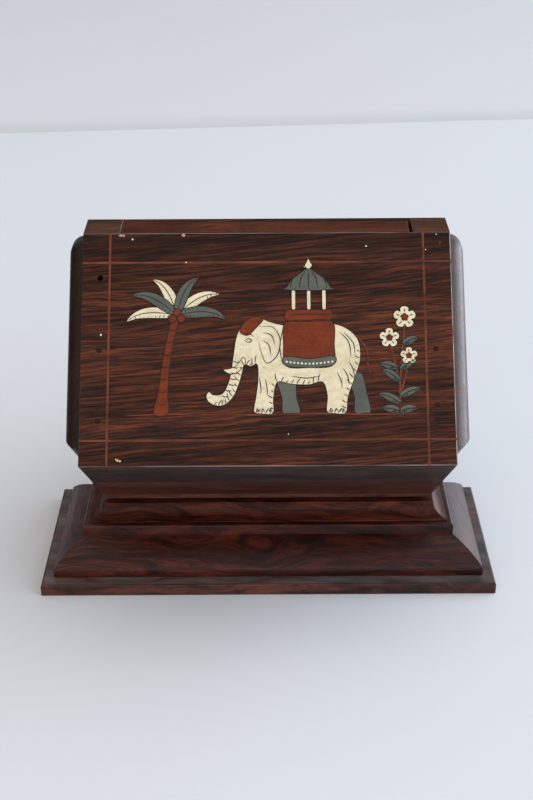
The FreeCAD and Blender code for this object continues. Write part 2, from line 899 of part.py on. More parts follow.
def spur_gear(name, bore, module, teeth, width):
    """A small gear with slim straight-sided teeth, cut with plenty of backlash."""
    pitch_radius = module * teeth / 2
    rim = pitch_radius - module * size.tooth_dedendum
    tip = pitch_radius + module * size.tooth_addendum
    pitch = module * math.pi
    half_root = pitch * size.tooth_root_share / 2
    half_tip = pitch * size.tooth_tip_share / 2
    sunk = rim - module / 2
    tooth = [(sunk, -half_root), (tip, -half_tip), (tip, half_tip), (sunk, half_root)]
    return toothed_ring(name, bore, rim, width, tooth, teeth)


def half_pitch(teeth):
    return 180.0 / teeth.value


def tube(name, start, outer, inner, length):
    return cut(
        name,
        cylinder(f"{name}_solid", start, outer, length),
        cylinder(f"{name}_bore", start, inner, length),
    )


def plate_and_screws():
    """The bedplate with its bearing holes, and three screws driven from outside the back panel."""
    spots = [(-1, 1), (-1, -1), (1, -1)]
    head_base = -size.panel_thickness - size.mount_screw_head_height
    screws = []
    for number, (side, up) in enumerate(spots):
        across = size.mount_screw_side * side
        height = size.mount_screw_height * up
        head = cylinder(
            f"mount_head_{number}", (across, height, head_base), size.mount_screw_head_radius,
            size.mount_screw_head_height,
        )
        shank = cylinder(
            f"mount_shank_{number}", (across, height, head_base), size.mount_screw_radius,
            plate_top - head_base,
        )
        screws.append(fuse(f"mount_screw_{number}", [head, shank]))
    screw_group = group("mount_screw_group", screws)
    blank = box(
        "plate_blank",
        (-size.plate_left, -size.plate_down, 0),
        (size.plate_left + size.plate_right, size.plate_down + size.plate_up, size.plate_thickness),
    )
    holes = [
        cylinder("plate_arbor_hole", (barrel_across, 0, 0), arbor_bore, plate_top),
        cylinder("plate_worm_hole", (worm_across, worm_up, 0), worm_shaft_bore, plate_top),
        cylinder("plate_click_hole", click_spot(0), size.click_pivot_radius, plate_top),
        *screws,
    ]
    sub_part("bedplate", cut("plate_cut", blank, fuse("plate_holes", holes)), movement_frame)
    sub_part("mounting_screws", screw_group, movement_frame)
    return screw_group


def click_spot(level):
    return (barrel_across - size.click_reach, -size.click_drop, level)


def key_bush():
    """A flanged brass bush that lines the key's hole in the back panel."""
    outside = -size.panel_thickness
    flange = cylinder(
        "bush_flange", (barrel_across, 0, outside - size.bush_flange_height), size.bush_flange_radius,
        size.bush_flange_height,
    )
    sleeve = cylinder("bush_sleeve", (barrel_across, 0, outside), size.bush_radius, size.panel_thickness)
    bore = cylinder(
        "bush_bore", (barrel_across, 0, outside - size.bush_flange_height), arbor_bore,
        size.panel_thickness + size.bush_flange_height,
    )
    sub_part("key_bush", cut("bush_cut", fuse("bush_blank", [flange, sleeve]), bore), movement_frame)
    hole = group("bush_hole", [sleeve])
    hole.Placement = movement_frame
    return hole


def winding():
    """The key, its arbor through the panel, and the ratchet wheel under the spring barrel."""
    hub_end = -size.panel_thickness - size.bush_flange_height - size.key_gap
    hub_start = hub_end - size.key_hub_length
    arbor_start = hub_end - size.key_grip_length
    arbor = cylinder(
        "arbor_rod", (barrel_across, 0, arbor_start), size.arbor_radius, size.arbor_end - arbor_start
    )
    sub_part("winding_arbor", group("arbor_group", [arbor]), movement_frame)
    hub = cylinder("key_hub", (barrel_across, 0, hub_start), size.key_hub_radius, size.key_hub_length)
    wing_level = hub_start - size.key_wing_radius / 2
    thickness = size.key_wing_thickness
    wings = []
    holes = [arbor]
    for side in (-1, 1):
        spot = (barrel_across + size.key_wing_offset * side, -thickness / 2, wing_level)
        wings.append(cylinder(f"key_wing_{side}", spot, size.key_wing_radius, thickness, ALONG_Y))
        holes.append(cylinder(f"key_wing_hole_{side}", spot, size.key_wing_hole, thickness, ALONG_Y))
    web = box(
        "key_web",
        (barrel_across - size.key_wing_offset, -thickness / 2, wing_level - thickness),
        (size.key_wing_offset * 2, thickness, thickness * 2),
    )
    blank = fuse("key_blank", [hub, web, *wings])
    sub_part("winding_key", cut("key_cut", blank, fuse("key_holes", holes)), movement_frame)
    step = 2 * math.pi / size.ratchet_teeth.value
    floor = size.ratchet_root - size.ratchet_thickness / 2
    tooth = [
        (floor, 0),
        (size.ratchet_tip, 0),
        (size.ratchet_root * math.cos(step), size.ratchet_root * math.sin(step)),
        (floor * math.cos(step), floor * math.sin(step)),
    ]
    ratchet = toothed_ring(
        "ratchet", size.arbor_radius, size.ratchet_root, size.ratchet_thickness, tooth, size.ratchet_teeth
    )
    sub_part("ratchet_wheel", ratchet, in_movement((barrel_across, 0, ratchet_base)))


def click():
    """The pawl, lifted to the tip of a ratchet tooth, and the headed pin that it turns on."""
    tip_top = size.click_drop - size.ratchet_tip - size.click_tip_gap
    tip = size.click_reach - size.click_tip_gap
    bore_radius = size.click_pivot_radius + size.pivot_clearance
    arm = prism(
        "click_arm",
        "XY_Plane",
        [
            (0, -size.click_arm_half_width),
            (tip, tip_top - size.click_tip_width),
            (tip, tip_top),
            (size.click_notch_reach, tip_top - size.click_tip_width),
            (0, size.click_arm_half_width),
        ],
        size.ratchet_thickness,
        both_ways=False,
    )
    hub = cylinder("click_hub", (0, 0, 0), size.click_boss_radius, size.ratchet_thickness)
    bore = cylinder("click_bore", (0, 0, 0), bore_radius, size.ratchet_thickness)
    pawl = cut("click_cut", fuse("click_blank", [arm, hub]), bore)
    sub_part("click", pawl, in_movement(click_spot(ratchet_base)))
    pivot_height = ratchet_base + size.ratchet_thickness + size.pivot_clearance
    shank = cylinder("click_shank", click_spot(0), size.click_pivot_radius, pivot_height)
    head = cylinder("click_head", click_spot(pivot_height), size.click_head_radius, size.click_head_height)
    sub_part("click_pivot", fuse("click_pivot_fuse", [shank, head]), movement_frame)


def spring_barrel():
    """The barrel with crown teeth on its rim, its pressed-in cover, and the coiled mainspring as one ring."""
    half = size.crown_tooth_width / 2
    inner = size.barrel_radius - size.crown_ring
    tooth = [(inner, -half), (size.barrel_radius, -half), (size.barrel_radius, half), (inner, half)]
    crown = toothed_ring(
        "crown", arbor_bore, size.barrel_radius, size.barrel_lid, tooth, size.crown_teeth,
        size.crown_tooth_height, size.barrel_lid,
    )
    place(crown, (barrel_across, 0, barrel_top - size.barrel_lid))
    start = (barrel_across, 0, size.barrel_start)
    cavity_radius = size.barrel_radius - size.barrel_wall
    wall_height = size.barrel_height - size.barrel_lid
    wall = tube("barrel_wall_ring", start, size.barrel_radius, cavity_radius, wall_height)
    sub_part("spring_barrel", fuse("barrel_fuse", [crown, wall]), movement_frame)
    cover = tube("cover_disc", start, cavity_radius, arbor_bore, size.cover_thickness)
    sub_part("barrel_cover", cover, movement_frame)
    coil_start = size.barrel_start + size.cover_thickness + size.spring_end_gap
    coil_end = barrel_top - size.barrel_lid - size.spring_end_gap
    coil = tube(
        "spring_coil", (barrel_across, 0, coil_start), cavity_radius - size.spring_gap,
        size.spring_inner_radius, coil_end - coil_start,
    )
    sub_part("mainspring", coil, movement_frame)


DRUM_PINS_PER_NOTE = 3
GOLDEN_TURN = 137.50776


def music_cylinder():
    """The pinned drum on its shaft, with the pinion at one end and the train wheel at the other."""
    shaft_start = pinion_start - size.shaft_overhang
    length = right_post_start + size.post_thickness - shaft_start
    shaft = cylinder("drum_shaft", (shaft_start, 0, axle_level), size.shaft_radius, length, ALONG_X)
    sub_part("cylinder_shaft", group("shaft_group", [shaft]), movement_frame)
    drum_point = (-size.drum_start, 0, axle_level)
    solid = cylinder("drum_solid", drum_point, size.drum_radius, size.drum_length, ALONG_X)
    sub_part("cylinder_drum", cut("drum_cut", solid, shaft), movement_frame)
    pins = doc.addObject("Part::Feature", "drum_pins")
    pins.Shape = Part.makeCompound(drum_pin_shapes())
    sub_part("cylinder_pins", pins, movement_frame)
    pinion = spur_gear("drum_pinion", size.shaft_radius, pinion_module, size.pinion_teeth, size.pinion_width)
    pinion_turn = half_pitch(size.pinion_teeth)
    sub_part("cylinder_pinion", pinion, in_movement((pinion_start, 0, axle_level), pinion_turn, True))
    wheel = spur_gear("drum_wheel", size.shaft_radius, size.train_module, size.wheel_teeth, size.wheel_width)
    sub_part("cylinder_wheel", wheel, in_movement((wheel_start, 0, axle_level), UP_SLOPE, True))


def drum_pin_shapes():
    """Pins in a row for each comb tooth, spread round the drum by a steady turn."""
    base = size.drum_radius.value - size.drum_pin_root.value
    height = size.drum_pin_height.value + size.drum_pin_root.value
    shapes = []
    for note in range(int(size.comb_teeth.value)):
        across = comb_tooth_middle(note).value
        for repeat in range(DRUM_PINS_PER_NOTE):
            turn = math.radians(GOLDEN_TURN * (note * DRUM_PINS_PER_NOTE + repeat))
            direction = Vector(0, math.cos(turn), math.sin(turn))
            start = Vector(across, 0, axle_level.value) + direction * base
            shapes.append(Part.makeCylinder(size.drum_pin_radius.value, height, start, direction))
    return shapes


comb_pitch = size.drum_length / size.comb_teeth
comb_tip = -(size.drum_radius + size.drum_pin_height + size.comb_gap)
comb_front = comb_tip - size.comb_tooth_length
comb_rear = comb_front - size.comb_back
comb_base_level = axle_level - size.comb_thickness / 2


def comb_tooth_middle(note):
    return comb_pitch * (note + 0.5) - size.drum_start


def comb_and_block():
    """The tuned steel comb, the block that it is screwed to, and its screws."""
    body = doc.addObject("PartDesign::Body", "comb_body")
    back = new_sketch(body, "comb_back_outline", "XY_Plane")
    left = -size.drum_start
    right = drum_end
    draw_outline(back, [(left, comb_rear), (right, comb_rear), (right, comb_front), (left, comb_front)])
    pad(body, "comb_back_pad", back, size.comb_thickness)
    first = comb_tooth_middle(0)
    half = size.comb_tooth_width / 2
    sunk = comb_front - size.comb_tooth_width
    tooth = new_sketch(body, "comb_tooth_outline", "XY_Plane")
    tooth_left = first - half
    tooth_right = first + half
    draw_outline(
        tooth, [(tooth_left, sunk), (tooth_right, sunk), (tooth_right, comb_tip), (tooth_left, comb_tip)]
    )
    tooth_pad = pad(body, "comb_tooth_pad", tooth, size.comb_thickness)
    pattern = body.newObject("PartDesign::LinearPattern", "comb_teeth_row")
    pattern.Originals = [tooth_pad]
    pattern.Direction = (tooth, ["H_Axis"])
    bind(pattern, Length=comb_pitch * (size.comb_teeth - 1), Occurrences=size.comb_teeth)
    body.Tip = pattern
    place(body, (0, 0, comb_base_level))
    screws = []
    for number, across in enumerate((left + size.comb_screw_inset, right - size.comb_screw_inset)):
        middle = comb_rear + size.comb_back / 2
        top = comb_base_level + size.comb_thickness
        shank = cylinder(
            f"comb_shank_{number}", (across, middle, top - size.comb_screw_length), size.comb_screw_radius,
            size.comb_screw_length,
        )
        head = cylinder(
            f"comb_head_{number}", (across, middle, top), size.comb_screw_head_radius,
            size.comb_screw_head_height,
        )
        screws.append(fuse(f"comb_screw_{number}", [shank, head]))
    holes = fuse("comb_holes", screws)
    sub_part("comb", cut("comb_cut", body, holes), movement_frame)
    block = box(
        "comb_block_blank", (left, comb_rear, plate_top),
        (size.drum_length, size.comb_back, comb_base_level - plate_top),
    )
    sub_part("comb_block", cut("comb_block_cut", block, holes), movement_frame)
    sub_part("comb_screws", group("comb_screw_group", screws), movement_frame)


def bearing_post(label, start, width_end, bores):
    """An upright with a foot on the bedplate, bored for the shafts that it carries."""
    half = size.post_half_width
    upright = box(
        f"{label}_upright", (start, -half, plate_top),
        (size.post_thickness, width_end + half, axle_level + size.post_top - plate_top),
    )
    foot_extent = (size.post_foot_length, half * 2, size.post_foot_height)
    foot = box(f"{label}_foot", (start, -half, plate_top), foot_extent)
    blank = fuse(f"{label}_blank", [upright, foot])
    sub_part(label, cut(f"{label}_cut", blank, group(f"{label}_bores", bores)), movement_frame)


def posts():
    """Two posts for the cylinder's shaft: the right one also carries the second shaft."""
    left = -size.post_left
    right = right_post_start
    depth = size.post_thickness
    end_bore = cylinder("left_post_bore", (left, 0, axle_level), drum_shaft_bore, depth, ALONG_X)
    bearing_post("left_post", left, size.post_half_width, [end_bore])
    drum_bore = cylinder("right_post_bore", (right, 0, axle_level), drum_shaft_bore, depth, ALONG_X)
    second_point = (right, second_up, axle_level)
    second_bore = cylinder("right_post_second_bore", second_point, second_shaft_bore, depth, ALONG_X)
    bearing_post("right_post", right, second_up + depth, [drum_bore, second_bore])


def second_shaft():
    """The shaft that steps the cylinder's turning up to the governor."""
    start = wheel_start - size.shaft_overhang
    length = cock_start + size.cock_thickness - start
    bore = size.second_shaft_radius
    rod = cylinder("second_rod", (start, second_up, axle_level), bore, length, ALONG_X)
    sub_part("second_shaft", group("second_group", [rod]), movement_frame)
    module = size.train_module
    pinion = spur_gear("second_small", bore, module, size.second_pinion_teeth, size.wheel_width)
    turn = DOWN_SLOPE + half_pitch(size.second_pinion_teeth)
    sub_part("second_pinion", pinion, in_movement((wheel_start, second_up, axle_level), turn, True))
    wheel = spur_gear("second_large", bore, module, size.worm_wheel_teeth, size.worm_wheel_width)
    sub_part("worm_wheel", wheel, in_movement((worm_wheel_start, second_up, axle_level), UP_SLOPE, True))


def governor():
    """The worm, the fly on the same shaft, and the cock that carries the ends of both shafts."""
    body = doc.addObject("PartDesign::Body", "worm_body")
    core = new_sketch(body, "worm_core", "XY_Plane")
    draw_circle(core, size.worm_root_radius)
    draw_circle(core, size.worm_shaft_radius)
    pad(body, "worm_core_pad", core, worm_length)
    thread = new_sketch(body, "worm_thread", "XZ_Plane")
    sunk = size.worm_root_radius - size.worm_thread_tip
    draw_outline(
        thread,
        [
            (sunk, worm_lead / 2 - size.worm_thread_root),
            (size.worm_radius, worm_lead / 2 - size.worm_thread_tip),
            (size.worm_radius, worm_lead / 2 + size.worm_thread_tip),
            (sunk, worm_lead / 2 + size.worm_thread_root),
        ],
    )
    helix = body.newObject("PartDesign::AdditiveHelix", "worm_helix")
    helix.Profile = thread
    helix.ReferenceAxis = (thread, ["V_Axis"])
    helix.Mode = 0
    bind(helix, Pitch=worm_lead, Height=worm_lead * size.worm_turns)
    starts = body.newObject("PartDesign::PolarPattern", "worm_starts")
    starts.Originals = [helix]
    starts.Axis = (core, ["N_Axis"])
    starts.Angle = 360
    bind(starts, Occurrences=size.worm_starts)
    body.Tip = starts
    sub_part("governor_worm", body, in_movement((worm_across, worm_up, axle_level - worm_length / 2)))
    shaft_end = cock_top - size.pivot_clearance
    shaft = cylinder("worm_rod", (worm_across, worm_up, 0), size.worm_shaft_radius, shaft_end)
    sub_part("governor_shaft", group("worm_rod_group", [shaft]), movement_frame)
    hub = cylinder("fly_hub", (worm_across, worm_up, size.fly_start), size.fly_hub_radius, size.fly_height)
    wings = box(
        "fly_wings",
        (worm_across - size.fly_thickness / 2, worm_up - size.fly_radius, size.fly_start),
        (size.fly_thickness, size.fly_radius * 2, size.fly_height),
    )
    sub_part("governor_fly", cut("fly_cut", fuse("fly_blank", [hub, wings]), shaft), movement_frame)
    half = size.cock_half_width
    upright = box(
        "cock_upright", (cock_start, second_up - half, plate_top),
        (size.cock_thickness, half * 2, cock_top - plate_top),
    )
    arm_start = worm_across - size.cock_arm_end
    arm = box(
        "cock_arm",
        (arm_start, second_up + half - size.cock_thickness, cock_arm_level),
        (
            cock_start + size.cock_thickness - arm_start,
            worm_up + size.cock_arm_end - second_up - half + size.cock_thickness,
            size.cock_thickness,
        ),
    )
    depth = size.cock_thickness
    second_point = (cock_start, second_up, axle_level)
    worm_point = (worm_across, worm_up, cock_arm_level)
    bores = [
        cylinder("cock_second_bore", second_point, second_shaft_bore, depth, ALONG_X),
        cylinder("cock_worm_bore", worm_point, worm_shaft_bore, depth),
    ]
    blank = fuse("cock_blank", [upright, arm])
    sub_part("governor_cock", cut("cock_cut", blank, fuse("cock_bores", bores)), movement_frame)


def stop_wire():
    """A bent wire under the lid, and its guide: the tip stands by the fly while the lid is shut."""
    radius = size.wire_radius
    across = end_board_face - size.wire_end_space
    depth = -size.wire_offset
    tip_up = worm_up + size.fly_radius + size.wire_fly_gap + radius
    tip = movement_frame.multVec(Vector(0, tip_up.value, size.wire_tip_height.value))
    top = lid_underside - size.wire_top_gap
    tip_across = worm_across - size.wire_tip_reach
    rods = [
        cylinder("wire_rise", (across, depth, tip.z), radius, top - tip.z),
        cylinder("wire_run", (across, depth, tip.z), radius, tip.y - depth, ALONG_Y),
        cylinder("wire_tip", (tip_across, tip.y, tip.z), radius, across - tip_across, ALONG_X),
    ]
    for number, point in enumerate(((across, depth, tip.z), (across, tip.y, tip.z))):
        bend = doc.addObject("Part::Sphere", f"wire_bend_{number}")
        bind(bend, Radius=radius)
        place(bend, point)
        rods.append(bend)
    sub_part("stop_wire", fuse("wire_fuse", rods))
    guide_foot = top_height - size.guide_drop - size.guide_height
    half = size.guide_width / 2
    blank = box(
        "guide_blank",
        (across - half, depth - half, guide_foot),
        (end_board_face - across + half, size.guide_width, size.guide_height),
    )
    bore_radius = radius + size.pivot_clearance
    bore = cylinder("guide_bore", (across, depth, guide_foot), bore_radius, size.guide_height)
    sub_part("wire_guide", cut("guide_cut", blank, bore))


def build():
    base_boards()
    lines = stringing()
    front_pins, front_holes = panel_pins("front", front_frame)
    back_pins, back_holes = panel_pins("back", back_frame)
    sub_part("panel_pins", group("panel_pin_group", [front_pins, back_pins]))
    slot = slot_tool()
    bores = lid_and_pins()
    ridge_blocks(bores)
    well_liner()
    bush_hole = key_bush()
    mount_screws = plate_and_screws()
    case_panels(lines, slot, front_holes, back_holes, [bush_hole, mount_screws])
    end_boards(group("all_pin_holes", [front_holes, back_holes]))
    end_mouldings()
    winding()
    click()
    spring_barrel()
    music_cylinder()
    comb_and_block()
    posts()
    second_shaft()
    governor()
    stop_wire()
    doc.recompute()


def write_parts():
    for feature in doc.Objects:
        if "Invalid" in feature.State or "Error" in feature.State:
            raise RuntimeError(f"{feature.Label} failed: {feature.State}")
    for feature in sub_parts:
        shape = feature.Shape
        if shape.isNull() or not shape.isValid() or not shape.Solids:
            raise RuntimeError(f"{feature.Label} has no sound shape")
    os.makedirs("parts", exist_ok=True)
    for feature in sub_parts:
        feature.Shape.exportStep(os.path.join("parts", f"{feature.Label}.step"))
        print(f"{feature.Label}: {len(feature.Shape.Solids)} solid(s), {feature.Shape.Volume:.1f} mm3")


build()
write_parts()
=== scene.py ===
# %% [markdown]
# # A wind-up music box in dark rosewood
# The box is a square case that stands on its edge over a moulded base, with an inlaid picture on its
# sloping front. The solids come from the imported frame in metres. This lesson gives them wood, bone and
# brass, softens the arrises of the boards, lays the inlay into the front, and sets up light and camera.

# %% Load the frame
import json
import math

import bmesh
import bpy
from mathutils import Matrix, Vector


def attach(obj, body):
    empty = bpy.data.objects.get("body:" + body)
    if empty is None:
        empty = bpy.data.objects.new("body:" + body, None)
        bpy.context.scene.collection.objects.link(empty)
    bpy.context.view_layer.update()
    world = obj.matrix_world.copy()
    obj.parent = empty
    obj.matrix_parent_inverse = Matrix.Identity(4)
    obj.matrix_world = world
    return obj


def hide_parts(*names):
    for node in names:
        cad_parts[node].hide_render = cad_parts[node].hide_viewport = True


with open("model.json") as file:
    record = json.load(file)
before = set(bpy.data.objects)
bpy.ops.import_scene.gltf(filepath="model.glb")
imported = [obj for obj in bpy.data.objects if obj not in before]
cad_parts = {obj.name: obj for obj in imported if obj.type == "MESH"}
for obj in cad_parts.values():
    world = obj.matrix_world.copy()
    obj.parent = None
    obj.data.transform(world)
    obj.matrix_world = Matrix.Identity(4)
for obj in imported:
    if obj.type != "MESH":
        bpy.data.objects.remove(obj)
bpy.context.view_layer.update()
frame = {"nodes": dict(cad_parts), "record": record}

nodes = frame["nodes"]
MM = 0.001


def new_object(name, data):
    made = bpy.data.objects.new(name, data)
    bpy.context.scene.collection.objects.link(made)
    return made


# %% [markdown]
# ## Camera
# The photograph looks down at about thirty degrees, square to the front, from a hand's reach away.
# The distance was found from how much wider the base's front edge looks than its back edge.

# %% Camera
LENS, SENSOR = 55.9, 36.0
PITCH, ROLL = math.radians(30.01), math.radians(-0.3)
CAMERA_PLACE = (-0.0003, -0.3519, 0.2613)
camera = new_object("camera", bpy.data.cameras.new("camera"))
camera.data.lens = LENS
camera.data.sensor_width = SENSOR
camera.location = CAMERA_PLACE
tilt = Matrix.Rotation(math.pi / 2 - PITCH, 3, "X") @ Matrix.Rotation(ROLL, 3, "Z")
camera.rotation_euler = tilt.to_euler()
bpy.context.scene.camera = camera
print("camera at", [round(v, 3) for v in camera.location], "lens", camera.data.lens)

# %% [markdown]
# ## Building materials in code
# A material is a small graph of nodes. The helpers add nodes by kind and set or link their sockets by
# name or number, here and in every other graph. Colours are written as they look on a screen, 0 to 255,
# and turned into the linear numbers that a renderer reckons with.

# %% Material helper
def colour(red, green, blue):
    """A screen colour, 0 to 255, as linear numbers."""
    def linear(value):
        value /= 255
        return value / 12.92 if value <= 0.04045 else ((value + 0.055) / 1.055) ** 2.4
    return (linear(red), linear(green), linear(blue), 1.0)


def even(value):
    return (value, value, value)


def feed(graph, made, inputs):
    for socket, value in inputs.items():
        if isinstance(value, bpy.types.NodeSocket):
            graph.links.new(value, made.inputs[socket])
        else:
            made.inputs[socket].default_value = value


def add_node(graph, kind, inputs=None, **settings):
    made = graph.nodes.new(kind)
    for name, value in settings.items():
        setattr(made, name, value)
    feed(graph, made, inputs or {})
    return made


class Finish:
    """A material under construction, with its main shader at hand."""

    def __init__(self, name):
        self.material = bpy.data.materials.new(name)
        self.material.use_nodes = True
        self.graph = self.material.node_tree
        self.shader = self.graph.nodes["Principled BSDF"]
        self.object_place = self.node("ShaderNodeTexCoord").outputs["Object"]

    def node(self, kind, inputs=None, **settings):
        return add_node(self.graph, kind, inputs, **settings)

    def axis(self, letter):
        return self.node("ShaderNodeSeparateXYZ", {0: self.object_place}).outputs[letter]

    def attribute(self, label):
        return self.node("ShaderNodeAttribute", None, attribute_name=label).outputs["Fac"]

    def noise(self, scale, offset=(0, 0, 0), detail=4.0, roughness=0.55, distortion=0.0):
        """Noise over object coordinates in metres, times a scale for each axis."""
        place = {"Vector": self.object_place, "Scale": scale, "Location": offset}
        place = self.node("ShaderNodeMapping", place).outputs["Vector"]
        inputs = {"Vector": place, "Scale": 1.0, "Detail": detail, "Roughness": roughness,
                  "Distortion": distortion}
        return self.node("ShaderNodeTexNoise", inputs).outputs["Fac"]

    def ramp(self, factor, stops):
        """Colours at places along a factor; a single number stands for a grey."""
        made = self.node("ShaderNodeValToRGB", {"Fac": factor})
        elements = made.color_ramp.elements
        while len(elements) < len(stops):
            elements.new(0.5)
        for element, (place, value) in zip(elements, stops):
            element.position = place
            element.color = value if isinstance(value, tuple) else (*even(value), 1.0)
        return made.outputs["Color"]

    def mix(self, factor, first, second, blend="MIX"):
        inputs = {0: factor, 6: first, 7: second}  # 6 and 7 are its colour sockets
        return self.node("ShaderNodeMix", inputs, data_type="RGBA", blend_type=blend).outputs[2]

    def maths(self, operation, first, second):
        return self.node("ShaderNodeMath", {0: first, 1: second}, operation=operation).outputs[0]

    def bump(self, height, strength, depth):
        inputs = {"Height": height, "Strength": strength, "Distance": depth}
        normal = self.node("ShaderNodeBump", inputs).outputs["Normal"]
        feed(self.graph, self.shader, {"Normal": normal})

    def surface(self, tone, rough, gloss=0.5, metallic=0.0):
        feed(self.graph, self.shader, {"Base Color": tone, "Roughness": rough,
                                       "Specular IOR Level": gloss, "Metallic": metallic})


print("an orange in linear numbers:", [round(v, 3) for v in colour(255, 128, 0)])

# %% [markdown]
# ## Rosewood
# The real wood is dark red-brown, with nearly black figure lines, fine fibres and short open pores, all
# drawn out along the board, under an old waxed varnish. Stretched noise gives each of these at its own
# scale: streaks some millimetres wide, fibres and pores of a few tenths. An attribute on the soft arrises
# blends in a colour that stands for edge wear and painted light: mostly pale, as wear and a painted
# highlight, and near black on the back panel, as painted shade. The front panel gets painted shade along
# its slope, darkest near the ridge and a little darker near the waist. Each board gets its own offset, so
# no two share a pattern. The grain runs along X, but upright in the ends, and along Y where the "turned"
# attribute marks the side pieces of a mitred moulding.

# %% Rosewood
SWAY_SCALE = (20, 50, 50)
LEAST_SWAY, SWAY_PER_SWIRL = 0.6 * MM, 5.5 * MM
FIBRE_SCALE = (70, 2600, 2600)
PORE_SCALE = (170, 2300, 2300)
WEAR_SCALE = (45, 200, 200)
POLISH_SCALE = even(120)
PORE_DARK, PORE_DULL, PORE_DEPTH = 0.6, 0.5, 0.8
GRAIN_BUMP, GRAIN_DEPTH = 0.22, 0.15 * MM
SIDE_BLEND = 10 * MM


def rosewood(name, tones, offset, along=60.0, across=1350.0, figure=0.55, swirl=0.15, lean=0.06,
             dullness=0.4, gloss=0.12, sides=None, worn=(118, 86, 74), painted_slope_shade=None, upright=False):
    """Figured wood in four tones, black to bright; sides adds gloss to a moulding's side pieces."""
    finish = Finish(name)
    black, dark, warm, bright = (colour(*tone) for tone in tones)
    shift = (offset, offset * 0.37, offset * 0.61)
    side = finish.axis("X") if sides else None
    turned = 1.0 if upright else finish.attribute("turned")
    quarter = {"Vector": finish.object_place, "Angle": math.pi / 2}
    crosswise = finish.node("ShaderNodeVectorRotate", quarter,
                            rotation_type="Y_AXIS" if upright else "Z_AXIS").outputs[0]
    finish.object_place = finish.mix(turned, finish.object_place, crosswise)
    sway = finish.noise(SWAY_SCALE, shift, 2.0)
    sway = finish.ramp(sway, [(0.3, 0.0), (0.7, LEAST_SWAY + swirl * SWAY_PER_SWIRL)])
    leaning = {"Vector": finish.object_place, "Rotation": (0, lean, -lean)}
    leaning = finish.node("ShaderNodeMapping", leaning).outputs[0]
    finish.object_place = finish.node("ShaderNodeVectorMath", {0: leaning, 1: sway},
                                      operation="ADD").outputs[0]
    streak = finish.noise((along, across, across), shift, 6.0, 0.7, swirl)
    tone = finish.ramp(streak, [(0.34, black), (0.45, dark), (0.54, warm), (0.66, bright)])
    broad = finish.noise((along * 0.3, across * 0.09, across * 0.09), shift, 3.0, 0.55, swirl)
    tone = finish.mix(0.8, tone, finish.ramp(broad, [(0.37, 0.42), (0.6, 1.0)]), "MULTIPLY")
    lines = finish.noise((along * 0.6, across * 0.7, across * 0.7), shift, 4.0, 0.6, swirl)
    lines = finish.ramp(lines, [(figure, 0.0), (figure + 0.05, 0.7), (figure + 0.12, 0.2)])
    tone = finish.mix(lines, tone, black)
    fibre = finish.noise(FIBRE_SCALE, shift, 3.0)
    tone = finish.mix(0.5, tone, finish.ramp(fibre, [(0.3, 0.6), (0.7, 1.0)]), "MULTIPLY")
    pores = finish.ramp(finish.noise(PORE_SCALE, shift, 1.0), [(0.62, 0.0), (0.70, 1.0)])
    tone = finish.mix(finish.maths("MULTIPLY", pores, PORE_DARK), tone, black)
    # Painted shade along the slope: darkest near the ridge, a little darker near the waist.
    if painted_slope_shade:
        low, middle, high = painted_slope_shade
        height = {"Value": finish.axis("Z"), "From Min": low, "From Max": high}
        height = finish.node("ShaderNodeMapRange", height).outputs[0]
        peak = (middle - low) / (high - low)
        slope_shade = finish.ramp(height, [(0.0, 0.85), (peak, 1.0), (0.78, 0.82), (0.95, 0.52)])
        tone = finish.mix(1.0, tone, slope_shade, "MULTIPLY")
    # Arrises blend towards the edge colour, for wear and for painted highlight and painted shade.
    patches = finish.ramp(finish.noise(WEAR_SCALE, shift, 4.0), [(0.36, 0.16), (0.66, 0.7)])
    edge_share = finish.maths("MULTIPLY", finish.attribute("worn"), patches)
    tone = finish.mix(edge_share, tone, colour(*worn))
    polish = finish.noise(POLISH_SCALE, shift, 5.0)
    rough = finish.ramp(polish, [(0.3, dullness - 0.06), (0.7, dullness + 0.1)])
    rough = finish.mix(finish.maths("MULTIPLY", pores, PORE_DULL), rough, (*even(0.8), 1.0))
    if sides:
        reach = {"Value": side, "From Min": -SIDE_BLEND, "From Max": SIDE_BLEND,
                 "To Min": sides[0], "To Max": sides[1]}
        more = finish.node("ShaderNodeMapRange", reach).outputs[0]
        gloss = finish.maths("ADD", finish.maths("MULTIPLY", turned, more), gloss)
    finish.surface(tone, rough, gloss)
    height = finish.maths("SUBTRACT", fibre, finish.maths("MULTIPLY", pores, PORE_DEPTH))
    finish.bump(height, GRAIN_BUMP, GRAIN_DEPTH)
    return finish.material


